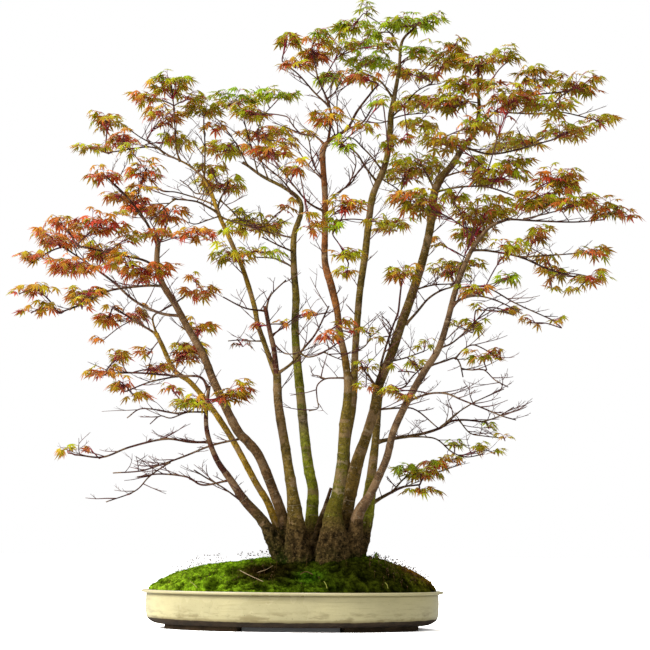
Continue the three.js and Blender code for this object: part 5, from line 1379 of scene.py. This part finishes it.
def depth_near(trace, x, y):
    """The depth of a traced limb where it passes nearest to a pixel."""
    nearest = (math.inf, 0)
    for (from_x, from_y, from_depth, _), (to_x, to_y, to_depth, _) in zip(trace, trace[1:]):
        length = (to_x - from_x) ** 2 + (to_y - from_y) ** 2
        along = ((x - from_x) * (to_x - from_x) + (y - from_y) * (to_y - from_y)) / length
        share = min(max(along, 0), 1)
        miss = math.hypot(
            from_x + share * (to_x - from_x) - x, from_y + share * (to_y - from_y) - y)
        nearest = min(nearest, (miss, from_depth + share * (to_depth - from_depth)))
    return nearest[1]


def trace_limbs():
    """All limbs' traces by name: the stems as drawn, the boughs with their depths worked out."""
    traces = {name: points for name, (_, _, points) in STEMS.items()}
    for name, (parent, end_depth, start_width, end_width, points) in BOUGHS.items():
        start_depth = depth_near(traces[parent], *points[0])
        shares = [i / (len(points) - 1) for i in range(len(points))]
        traces[name] = [
            (x, y, start_depth + (end_depth - start_depth) * share,
             start_width + (end_width - start_width) * share)
            for (x, y), share in zip(points, shares)
        ]
    return traces


TRACES = trace_limbs()


def limb_path(trace, step):
    """A limb's curve with its radii, from its traced points."""
    points = [at(x, y, depth) for x, y, depth, _ in trace]
    return smooth_path(points, [width * PIXEL / 2 for *_, width in trace], step)


class BONSAI_OT_tree(bpy.types.Operator):
    """Adds the root base, stems and boughs in their own bark, and the fine bare twigs"""
    bl_idname = "bonsai.tree"
    bl_label = "Root base, stems and twigs"

    def execute(self, context):
        bark = bark_finish()
        self.root_base(root_finish())
        self.limbs(bark)
        self.twigs(context.scene.bonsai_tree)
        return {"FINISHED"}

    def ripple(self, length, seed):
        """Slight swellings along a stem, with a thicker node every few centimetres."""
        waves = (np.sin(length * 150 + seed) + 0.7 * np.sin(length * 390 + 2.3 * seed)) * 0.014
        node = np.abs((length + 0.011 * seed) % 0.043 - 0.0215)
        return 1 + waves + 0.07 * np.exp(-(node / 0.0024) ** 2)

    def limb(self, shape, name, sides, step, low, high, seed):
        """A stem or bough as a tapering tube, in a low tone that turns to a high one."""
        path, radii = limb_path(TRACES[name], step)
        length = distances(path)
        radii = radii.ravel() * self.ripple(length, seed)
        height = path[:, 2]
        if name in BOUGHS:
            radii = radii * 0.8 * (1 + 0.9 * np.exp(-length / (4 * MM)))
        else:
            slim = np.clip((2.6 * MM - radii) / (0.8 * MM), 0, 1)[:, None]
            high = blend(high, BOUGH_TONE, slim)
            buried = np.clip((BURIED_HEIGHT - height) / BURIED_FADE, 0, 1)
            radii = radii * (1 - 0.35 * buried)
        share = np.clip((length / length[-1] - 0.25) / 0.3, 0, 1)[:, None]
        tones = blend(low, high, share)
        if name in STEMS and height[0] < OLD_FOOT_HEIGHT:
            old = np.exp(-np.maximum(height - OLD_TONE_HEIGHT, 0) / OLD_TONE_FADE)[:, None]
            tones = blend(tones, BARK_TONES["dark_base"], old * 0.85)
        for level, reach, tone in BARK_BANDS.get(name, ()):
            band = np.exp(-((height - at(0, level, 0)[2]) / (reach * PIXEL)) ** 2)[:, None]
            tones = blend(tones, BARK_TONES[tone], 0.8 * band)
        tones[:, 3] = 1
        shape.tube(path, radii, sides, {"tone": tones}, start=seed * 0.37)

    def limbs(self, bark):
        shape = Shape("tone")
        for seed, (name, (low, high, _)) in enumerate(STEMS.items()):
            self.limb(shape, name, 16, 3.2 * MM, BARK_TONES[low], BARK_TONES[high], seed)
        for seed, (name, (parent, *_)) in enumerate(BOUGHS.items()):
            root = parent
            while root in BOUGHS:
                root = BOUGHS[root][0]
            start = blend(BARK_TONES[STEMS[root][1]], BOUGH_TONE, 0.5)
            self.limb(shape, name, 9, 3.6 * MM, start, BOUGH_TONE, seed * 1.7)
        finish_piece(shape.build("stems_and_boughs", [bark]), "bark", "tree")

    def nearest_stem_tones(self, places):
        """The low tone of the stem that is nearest to each place."""
        spots = []
        tones = []
        for low, _, trace in STEMS.values():
            path, _ = smooth_path([at(*point[:3]) for point in trace[:3]], np.zeros(3), 8 * MM)
            spots.append(path)
            tones.append(np.tile(BARK_TONES[low], (len(path), 1)))
        away = np.linalg.norm(places[:, None, :] - np.vstack(spots)[None], axis=2)
        return np.vstack(tones)[away.argmin(axis=1)]

    def root_base(self, old_bark):
        """The swollen base: the feet of the stems and the spreading roots, melted into one."""
        shape = Shape("tone")
        for name in STEMS:
            if TRACES[name][0][1] > BASE_TOP:
                self.foot(shape, TRACES[name])
        for i in range(ROOTS):
            self.root(shape, 2 * math.pi * i / ROOTS + 0.35 * math.sin(5 * i))
        base = shape.build("root_base", [old_bark])
        only(base)
        melt = base.modifiers.new("melt", "REMESH")
        melt.mode = "VOXEL"
        melt.voxel_size = 1.8 * MM
        bpy.ops.object.modifier_apply(modifier="melt")
        soften = base.modifiers.new("soften", "SMOOTH")
        soften.factor = 0.6
        soften.iterations = 3
        bpy.ops.object.modifier_apply(modifier="soften")
        for old in list(base.data.color_attributes):
            base.data.color_attributes.remove(old)
        self.weather(base)
        only(base)
        bpy.ops.object.shade_smooth()
        finish_piece(base, "bark", "tree")

    def foot(self, shape, trace):
        """The lowest part of a stem, down into the moss."""
        low = [point for point in trace if point[1] >= BASE_TOP - 15]
        points = [at(x, y, depth) for x, y, depth, _ in low]
        points.insert(0, points[0] - up(22 * MM))
        widths = [low[0][3]] + [width * 1.03 for *_, width in low]
        path, radii = smooth_path(points, [width * PIXEL / 2 for width in widths], 4 * MM)
        shape.tube(path, radii, 14, {"tone": BARK_TONES["dark_base"]})

    def root(self, shape, angle):
        """A root that spreads from the base and dips into the moss."""
        out = np.array((math.cos(angle) * 66 * MM, math.sin(angle) * 48 * MM, 0))
        top = BASE_MIDDLE + 0.30 * out + up(118 * MM)
        knee = BASE_MIDDLE + 0.66 * out + up(104 * MM)
        end = BASE_MIDDLE + 1.08 * out + up(86 * MM)
        path, radii = smooth_path([top, knee, end], [10 * MM, 9 * MM, 6 * MM], 4 * MM)
        shape.tube(path, radii, 10, {"tone": BARK_TONES["dark_base"]})

    def weather(self, base):
        """Raises the base's corky ridges and tints it, with young bark above and moss below."""
        normals = np.array([vertex.normal[:] for vertex in base.data.vertices])
        places = places_of(base)
        ridges = []
        for x, y, z in places:
            spot = Vector((x, y, z))
            plates = 1 - 2.6 * abs(noise.noise(Vector((x * 110, y * 110, z * 60))))
            ridges.append(plates + 0.5 * noise.noise(spot * 190) + 0.3 * noise.noise(spot * 400))
        ridges = np.array(ridges)
        height = places[:, 2]
        fade = np.clip((RIDGE_HEIGHT - height) / RIDGE_FADE, 0, 1)
        moved = places + normals * (ridges * fade * 1.9 * MM)[:, None]
        base.data.vertices.foreach_set("co", moved.astype(np.float32).ravel())
        # The tone follows the ridges' height: the bark's own paler ridges with painted highlight on
        # them, and painted shade in the furrows.
        tones = np.array(RIDGE_TONE)[None, :] * np.clip(0.55 + 0.45 * ridges, 0.2, 1.2)[:, None]
        young = np.clip((height - YOUNG_BARK_HEIGHT) / YOUNG_BARK_FADE, 0, 1)[:, None] * 0.7
        tones = blend(tones, self.nearest_stem_tones(places), young)
        ground = mound_height(places[:, 0] - POT_X, places[:, 1] - POT_Y)
        patchy = np.array([noise.noise(Vector(place) * 40) for place in places]) + 0.55
        leftward = np.clip((POT_X + 12 * MM - places[:, 0]) / (30 * MM), 0, 1)
        damp = np.exp(-np.maximum(height - ground, 0) / (0.01 + 0.02 * leftward))
        damp = damp * np.clip(patchy + 0.5 * leftward, 0, 1)
        tones = blend(tones, DAMP_MOSS_TONE, damp[:, None])
        tones[:, 3] = 1
        set_tones(base, np.clip(tones, 0, 1))

    def twig(self, shape, draw, start, way, length, radius, forks):
        """A thin twig with slight bends, tapering to its bud, with forks of its own."""
        bend = unit(np.cross(way, (0, 0, 1)) + 1e-6)
        points = [start]
        for i in range(3):
            way = unit(way + bend * draw.uniform(-0.28, 0.28) + up(draw.uniform(-0.06, 0.16)))
            points.append(points[-1] + way * length / 3)
        tone = pick(draw, TWIG_TONES)
        path, radii = smooth_path(
            points, [radius, radius * 0.8, radius * 0.62, radius * 0.42], 7 * MM)
        shape.tube(path, radii, 4, {"tone": tone})
        if not forks:
            return
        for i in (1, 2):
            if draw.uniform() < 0.75:
                aside = bend * draw.choice((-1, 1)) * draw.uniform(0.6, 1)
                aside = unit(unit(points[i + 1] - points[i]) + aside + up(draw.uniform(-0.1, 0.35)))
                self.twig(shape, draw, points[i], aside, length * draw.uniform(0.35, 0.6),
                          radius * 0.66, forks - 1)

    def twigs(self, settings):
        """Bare twigs along the boughs and the upper stems."""
        draw = np.random.default_rng(3)
        shape = Shape("tone")
        for name, trace in TRACES.items():
            path, _ = limb_path(trace, 3 * MM)
            is_stem = name in STEMS
            spacing = settings.twig_spacing * (2.1 if is_stem else 1)
            walked = draw.uniform(0.2, 1) * spacing
            for i in range(1, len(path) - 1):
                walked -= np.linalg.norm(path[i] - path[i - 1])
                height = path[i][2]
                if walked > 0 or height > TWIG_TOP or (is_stem and height < STEM_TWIG_BOTTOM):
                    continue
                walked = spacing * draw.uniform(0.6, 1.4)
                along = unit(path[i + 1] - path[i - 1])
                angle = draw.uniform(0, 2 * math.pi)
                out = unit(np.array((math.cos(angle), 0.8 * math.sin(angle), 0.25)))
                way = unit(0.75 * along + out)
                length = settings.twig_length * draw.uniform(0.5, 1.35)
                self.twig(shape, draw, path[i], way, length, draw.uniform(0.62, 0.95) * MM, 2)
        finish_piece(shape.build("bare_twigs", [twig_finish()]), "bark", "tree")


# ---------------------------------------------------------------- leaves


def leaf_pattern(lobes, droop, fold):
    """One maple leaf, one unit long: narrow lobes round a heart, thin and closed.

    A lobe is its angle, length and width. The leaf droops towards its tips and each lobe is folded
    along its rib. Returns points, corners, face sizes, UVs of reach and distance from the rib, and
    which points are underneath.
    """
    points = []
    uvs = []

    def put(angle, far, aside, rise, reach, rib):
        turn = math.radians(angle)
        x = far * math.cos(turn) - aside * math.sin(turn)
        y = far * math.sin(turn) + aside * math.cos(turn)
        drop = droop * (x * x + y * y) ** 0.75
        points.append((x, y, rise - drop))
        uvs.append((reach, rib))
        return len(points) - 1

    top = put(0, 0, 0, 0.016, 0, 0)
    under = put(0, 0, 0, -0.016, 0, 0)
    notches = [put(lobes[0][0] - 24, 0.12, 0, 0, 0.1, 1)]
    for (angle, length, _), (next_angle, next_length, _) in zip(lobes, lobes[1:]):
        far = 0.33 * min(length, next_length)
        notches.append(put((angle + next_angle) / 2, far, 0, fold * 0.3, 0.25, 1))
    notches.append(put(lobes[-1][0] + 24, 0.12, 0, 0, 0.1, 1))
    faces = [(top, notches[-1], under), (top, under, notches[0])]
    rib_unders = []
    for i, (angle, length, width) in enumerate(lobes):
        first, last = notches[i], notches[i + 1]
        near = put(angle, 0.5 * length, -width / 2, fold, 0.45 * length, 1)
        far = put(angle, 0.5 * length, width / 2, fold, 0.45 * length, 1)
        tip = put(angle, length, 0, -0.06 * length, length, 0.5)
        rib_top = put(angle, 0.46 * length, 0, 0.010, 0.42 * length, 0)
        rib_under = put(angle, 0.46 * length, 0, -0.014, 0.42 * length, 0)
        rib_unders.append(rib_under)
        faces += [(top, first, near, rib_top), (rib_top, near, tip), (rib_top, tip, far),
                  (top, rib_top, far, last)]
        faces += [(under, rib_under, near, first), (rib_under, tip, near), (rib_under, far, tip),
                  (under, last, far, rib_under)]
    corners = np.array([index for face in faces for index in face])
    sizes = np.array([len(face) for face in faces])
    lower = np.zeros(len(points), bool)
    lower[under] = True
    lower[rib_unders] = True
    return np.array(points), corners, sizes, np.array(uvs)[corners], lower


def fan(*lobes):
    """The lobes of a leaf from those on one side and the middle one: each is mirrored."""
    return [(-angle, length, width) for angle, length, width in lobes[:-1]] + list(lobes[::-1])


LEAF_PATTERNS = [
    leaf_pattern(fan((98, 0.46, 0.16), (48, 0.84, 0.23), (0, 1, 0.26)), 0.26, -0.035),
    leaf_pattern(fan((120, 0.36, 0.12), (80, 0.66, 0.19), (40, 0.9, 0.22), (0, 1, 0.24)),
                 0.34, -0.04),
    leaf_pattern(fan((80, 0.54, 0.18), (38, 0.88, 0.22), (0, 1.02, 0.24)), 0.5, -0.05),
    leaf_pattern(fan((56, 0.66, 0.18), (26, 0.9, 0.2), (0, 1, 0.23)), 0.7, -0.06),
]
LEAF_CHANCES = (0.24, 0.24, 0.3, 0.22)


def starts_for(target):
    """The nearest fitting point of the limbs from which a spray's stalk can grow."""
    best = (math.inf,)
    for name, trace in TRACES.items():
        for i in range(4 if name in STEMS else 1, len(trace)):
            x, y, depth, width = trace[i]
            point = at(x, y, depth)
            is_end = i == len(trace) - 1
            heading = unit(point - at(*trace[i - 1][:3]))
            away = np.linalg.norm(target - point) / MM
            drop = max(0, point[2] - target[2]) / MM
            turn = 15 * (1 - heading.dot(unit(target - point))) if is_end else 0
            reach = away + drop + max(0, width - 6) * 10 + turn
            reach = reach * 0.7 if is_end else reach
            if reach < best[0]:
                best = (reach, point, heading, width * PIXEL / 2 if is_end else 1.2 * MM)
    return best[1:]


class BONSAI_OT_leaves(bpy.types.Operator):
    """Adds a leafy spray for each spray solid: twigs, leaf stalks and lobed leaves"""
    bl_idname = "bonsai.leaves"
    bl_label = "Leafy sprays"

    def execute(self, context):
        settings = context.scene.bonsai_leaves
        materials = [twig_finish(), leaf_finish()]
        for number, pads in enumerate(SPRAYS, start=1):
            self.spray(settings, materials, number, pads)
        return {"FINISHED"}

    def hub(self, pad):
        x, y, _, half_height, depth, _ = pad
        return at(x, y + half_height * 0.3, depth)

    def spray(self, settings, materials, number, pads):
        """One spray: a stalk that grows from pad to pad, or from nearer wood, and their leaves."""
        draw = np.random.default_rng(100 + number)
        shape = Shape("tone", "tip")
        reached, heading, radius = starts_for(self.hub(pads[0]))
        for pad in pads:
            hub = self.hub(pad)
            limb = starts_for(hub)
            if np.linalg.norm(hub - limb[0]) < 0.8 * np.linalg.norm(hub - reached):
                reached, heading, radius = limb
            knee = reached + heading * min(10 * MM, 0.3 * np.linalg.norm(hub - reached))
            middle = (knee + hub) / 2 + up(0.06 * np.linalg.norm(hub - reached))
            path, radii = smooth_path(
                [reached, knee, middle, hub],
                [radius, radius * 0.92, radius * 0.8, 0.85 * MM], 5 * MM)
            tone = pick(draw, TWIG_TONES)
            shape.tube(path, radii, 6, {"tone": tone, "tip": tone})
            self.pad(shape, settings, draw, pad, hub, path)
            reached = hub
            heading = unit(path[-1] - path[-3])
            radius = 1.1 * MM
        name = f"spray_{number:02d}"
        made = shape.build("leafy_" + name, materials, smooth=False)
        finish_piece(made, "leaf_" + pads[0][5], name)

    def pad(self, shape, settings, draw, pad, hub, stalk):
        """A flat pad of small leaf clusters, on twigs that fan out from its stalk."""
        _, _, half_width, half_height, _, tint = pad
        count = max(4, round(math.pi * half_width * half_height / settings.share))
        length = settings.length * min(1, 0.5 + 0.045 * half_width)
        reach_x = max(half_width * PIXEL - 0.62 * length, 3 * MM)
        reach_y = max(0.85 * half_width * PIXEL, min(20, 2 * half_width) * MM) - 0.5 * length
        reach_z = half_height * PIXEL
        middle = hub + up(0.22 * reach_z + 2.5 * MM)
        twigs = max(3, round(count / 3.4))
        turn = draw.uniform(0, 2 * math.pi)
        grown = 0
        for i in range(twigs):
            angle = turn + GOLDEN_TURN * i
            far = math.sqrt((i + 0.6) / twigs) * draw.uniform(0.92, 1.12)
            end = middle + np.array((
                math.cos(angle) * reach_x * far, math.sin(angle) * reach_y * far,
                reach_z * (draw.uniform(-0.75, 0.75) * (1.1 - 0.5 * min(far, 1)))))
            root = stalk[-1 - draw.integers(0, max(1, int(0.6 * len(stalk))))]
            bend = (root + end) / 2 + up(-0.1) * np.linalg.norm(end - root)
            path, radii = smooth_path([root, bend, end], [0.6 * MM, 0.48 * MM, 0.34 * MM], 6 * MM)
            tone = pick(draw, YOUNG_TONES if draw.uniform() < 0.6 else TWIG_TONES)
            shape.tube(path, radii, 4, {"tone": tone, "tip": tone})
            share = (count - grown) / (twigs - i)
            here = int(share + draw.uniform(0, 1))
            grown += here
            self.leaves_along(shape, draw, path, here, length, tint, (middle[2], reach_z))

    def leaves_along(self, shape, draw, path, count, length, tint, level):
        """Leaves in pairs on both sides of a twig, and the last ones round its end."""
        last = len(path) - 1
        for i in range(count):
            pair = i // 2
            if pair == 0:
                node = last
                spread = (0.35 + 0.35 * draw.uniform()) * (1 if i % 2 else -1)
            else:
                node = max(1, round(last * (1 - 0.33 * pair + draw.uniform(-0.08, 0.08))))
                spread = draw.uniform(0.7, 1.35) * (1 if i % 2 else -1)
            root = path[node]
            way = unit(path[node] - path[node - 1])
            flat = unit(np.array((way[0], way[1], 0)) + 1e-9)
            outward = swung(flat, spread)
            petiole = draw.uniform(0.4, 0.95) * length
            heart = root + unit(outward + up(draw.uniform(-0.1, 0.6))) * petiole
            middle = (root + heart) / 2 + up(0.1 * petiole)
            stalk, radii = smooth_path(
                [root, middle, heart], [0.44 * MM, 0.38 * MM, 0.36 * MM], 6 * MM)
            tone = pick(draw, YOUNG_TONES)
            shape.tube(stalk, radii, 3, {"tone": tone, "tip": tone})
            self.leaf(shape, draw, heart, outward, length, tint, (heart[2] - level[0]) / level[1])

    def leaf(self, shape, draw, heart, outward, length, tint, lift):
        """One leaf, drooping and rolled a little, in the tones of its place in the pad."""
        kind = draw.choice(len(LEAF_PATTERNS), p=LEAF_CHANCES)
        points, corners, sizes, uvs, lower = LEAF_PATTERNS[kind]
        size = length * draw.uniform(0.72, 1.14)
        droop = draw.uniform(-0.2, 0.65)
        outward = swung(outward, draw.uniform(-0.4, 0.4))
        along = unit(outward * math.cos(droop) - up(math.sin(droop)))
        roll = draw.uniform(-0.55, 0.55)
        across = unit(np.cross((0, 0, 1), along))
        normal = np.cross(along, across)
        across, normal = (across * math.cos(roll) + normal * math.sin(roll),
                          normal * math.cos(roll) - across * math.sin(roll))
        placed = heart + size * (points @ np.stack([along, across, normal]))
        on_right = heart[0] > POT_X + RIGHT_TINTS_FROM
        lift = min(max(lift, -1), 1)
        tones = {}
        for name, tone in self.leaf_tones(draw, tint, on_right, lift).items():
            spread = np.tile(np.clip(tone, 0, 1), (len(points), 1))
            # Painted shade on the leaves' undersides.
            spread[lower] *= UNDERSIDE_SHADE
            spread[:, 3] = 1
            tones[name] = spread
        shape.add(placed, corners, sizes, uvs, tones, 1)

    def leaf_tones(self, draw, tint, on_right, lift):
        """A leaf's tone and the tone of its tips, from its pad's tint and its height in the pad,
        with painted light on high leaves and painted shade on low ones.
        """
        shares = TINT_SHARES[tint]
        if on_right and tint in RIGHT_TINT_SHARES:
            shares = RIGHT_TINT_SHARES[tint]
        names = [name for name, _ in shares]
        tint = names[draw.choice(len(names), p=[share for _, share in shares])]
        hearts, tips = LEAF_TONES[tint]
        # The brightness differs at random, with painted light on leaves high in the pad and painted
        # shade on low ones.
        glow = draw.uniform(0.62, 1.22) * (1 + 0.24 * lift)
        mixing = draw.uniform(0, 1)
        first, second = draw.choice(len(hearts), 2)
        tone = blend(hearts[second], hearts[first], mixing) * glow
        tip = pick(draw, tips) * glow
        if draw.uniform() < 0.16:
            tip = tone
        # Painted highlight and shade: high leaves lean to the top tone, low ones to the low tone.
        lean = np.array(TOP_HIGHLIGHT_TONE if lift > 0 else LOW_SHADE_TONE)
        if tint in ("green", "withered"):
            lean = tone
        tone = tone + (lean - tone) * (0.45 if lift > 0 else 0.6) * abs(lift)
        tip = tip + (lean - tip) * (0.12 if lift > 0 else 0.4) * abs(lift)
        return {"tone": tone, "tip": tip}


# ---------------------------------------------------------------- drainage


class BONSAI_OT_drainage(bpy.types.Operator):
    """Gives the drain screens and their wire clips their finishes"""
    bl_idname = "bonsai.drainage"
    bl_label = "Drain screens and clips"

    def execute(self, context):
        plastic = Finish("screen_plastic", roughness=0.5)
        plastic.colour(plastic.mix(plastic.noise(200), colour(24, 24, 24), colour(46, 46, 44)))
        plastic.bump(plastic.noise(1500, 2), 0.0001, 0.4)
        wire = Finish("clip_wire", roughness=0.38, Metallic=1.0)
        wire.colour(wire.mix(wire.noise(260), colour(168, 168, 168), colour(206, 206, 204)))
        wire.bump(wire.noise(1200, 2), 0.0001, 0.4)
        for node, made in (("screen", plastic), ("clip", wire)):
            for side in ("left", "right"):
                dress(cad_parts[f"{node}_{side}"], made.material)
        return {"FINISHED"}


# ---------------------------------------------------------------- stage


class BONSAI_OT_stage(bpy.types.Operator):
    """Adds the pale floor, the soft lights and the camera at the photograph's angle"""
    bl_idname = "bonsai.stage"
    bl_label = "Floor, lights and camera"

    def execute(self, context):
        settings = context.scene.bonsai_stage
        context.scene.view_settings.view_transform = "Standard"
        self.floor()
        self.sky(context, settings)
        self.light("key", (-2.4, -1.7, 2.1), 1.3, settings.key_power, (1.0, 0.985, 0.95))
        self.light("fill", (1.6, -2.6, 0.9), 2.0, settings.key_power * 0.03, (0.96, 0.98, 1.0))
        self.light("back", (-0.4, 1.9, 2.6), 1.8, settings.key_power * 0.5, (1.0, 1.0, 1.0))
        self.camera(context)
        return {"FINISHED"}

    def seen(self, nodes, links, lit, plain):
        """A brightness that is lit for the light's own rays, and plain where the eye looks."""
        path = nodes.new("ShaderNodeLightPath")
        choice = nodes.new("ShaderNodeMix")
        choice.inputs[2].default_value = lit
        choice.inputs[3].default_value = plain
        links.new(path.outputs["Is Camera Ray"], choice.inputs[0])
        return choice.outputs[0]

    def floor(self):
        bpy.ops.object.select_all(action="DESELECT")
        bpy.ops.mesh.primitive_plane_add(size=30, location=(0, 0, 0))
        floor = bpy.context.object
        floor.name = "floor"
        pale = Finish("pale_floor", roughness=0.9, Specular_IOR_Level=0.0)
        white = self.seen(pale.nodes, pale.links, 0.85, 4.5)
        faint = pale.mix(pale.noise(3), (0.99, 0.99, 0.99, 1), (1, 1, 1, 1))
        lit = pale.node("ShaderNodeVectorMath", {0: faint, 1: white}, operation="MULTIPLY")
        pale.colour(lit.outputs[0])
        pale.shader.inputs["Emission Color"].default_value = (1, 1, 1, 1)
        glow = self.seen(pale.nodes, pale.links, 0, 0.05)
        pale.links.new(glow, pale.shader.inputs["Emission Strength"])
        floor.data.materials.append(pale.material)

    def sky(self, context, settings):
        world = bpy.data.worlds.new("studio")
        world.use_nodes = True
        nodes = world.node_tree.nodes
        background = nodes["Background"]
        background.inputs["Color"].default_value = (1, 1, 1, 1)
        world.node_tree.links.new(
            self.seen(nodes, world.node_tree.links, settings.sky, 1),
            background.inputs["Strength"])
        context.scene.world = world

    def light(self, name, place, size, power, tint):
        bpy.ops.object.light_add(type="AREA", location=place)
        lamp = bpy.context.object
        lamp.name = "light_" + name
        lamp.data.size = size
        lamp.data.energy = power
        lamp.data.color = tint
        towards = Vector((0, 0, 0.4)) - Vector(place)
        lamp.rotation_euler = towards.to_track_quat("-Z", "Y").to_euler()

    def camera(self, context):
        bpy.ops.object.camera_add()
        eye = bpy.context.object
        eye.name = "photo_view"
        eye.data.sensor_width = 36
        eye.data.lens = 36 * FOCAL_PIXELS / PICTURE_SIZE
        turned = Matrix.Rotation(math.pi / 2 + EYE_TILT, 4, "X") @ Matrix.Rotation(EYE_ROLL, 4, "Z")
        place = Matrix.Translation((
            POT_X + EYE_RIGHT * MM, POT_Y - EYE_DISTANCE * MM, EYE_HEIGHT * MM))
        eye.matrix_world = place @ turned
        eye.data.clip_start = 0.05
        context.scene.camera = eye


class BONSAI_PT_panel(bpy.types.Panel):
    """Lists the bonsai's pieces and their settings"""
    bl_label = "Bonsai"
    bl_idname = "BONSAI_PT_panel"
    bl_space_type = "VIEW_3D"
    bl_region_type = "UI"
    bl_category = "Bonsai"

    def draw(self, context):
        groups = (
            ("bonsai_pot", "bonsai.pot", ("glaze", "clay")),
            ("bonsai_moss", "bonsai.moss",
             ("bright", "dark", "tufts", "tuft_height", "spore_stalks")),
            ("bonsai_tree", "bonsai.tree", ("twig_spacing", "twig_length")),
            ("bonsai_leaves", "bonsai.leaves", ("length", "share")),
            ("bonsai_stage", "bonsai.stage", ("key_power", "sky")),
        )
        for group, operator, names in groups:
            box = self.layout.box()
            for name in names:
                box.prop(getattr(context.scene, group), name)
            box.operator(operator)
        self.layout.operator("bonsai.drainage")


SETTINGS = {
    "bonsai_pot": PotSettings,
    "bonsai_moss": MossSettings,
    "bonsai_tree": TreeSettings,
    "bonsai_leaves": LeafSettings,
    "bonsai_stage": StageSettings,
}
OPERATORS = (
    BONSAI_OT_pot, BONSAI_OT_drainage, BONSAI_OT_moss, BONSAI_OT_tree, BONSAI_OT_leaves,
    BONSAI_OT_stage,
)


def register():
    for name, settings in SETTINGS.items():
        bpy.utils.register_class(settings)
        setattr(bpy.types.Scene, name, bpy.props.PointerProperty(type=settings))
    for operator in OPERATORS:
        bpy.utils.register_class(operator)
    bpy.utils.register_class(BONSAI_PT_panel)


def unregister():
    bpy.utils.unregister_class(BONSAI_PT_panel)
    for operator in reversed(OPERATORS):
        bpy.utils.unregister_class(operator)
    for name, settings in SETTINGS.items():
        delattr(bpy.types.Scene, name)
        bpy.utils.unregister_class(settings)


def main():
    register()
    bpy.ops.object.select_all(action="DESELECT")
    bpy.ops.bonsai.pot()
    bpy.ops.bonsai.drainage()
    bpy.ops.bonsai.moss()
    bpy.ops.bonsai.tree()
    bpy.ops.bonsai.leaves()
    bpy.ops.bonsai.stage()


if __name__ == "__main__":
    main()
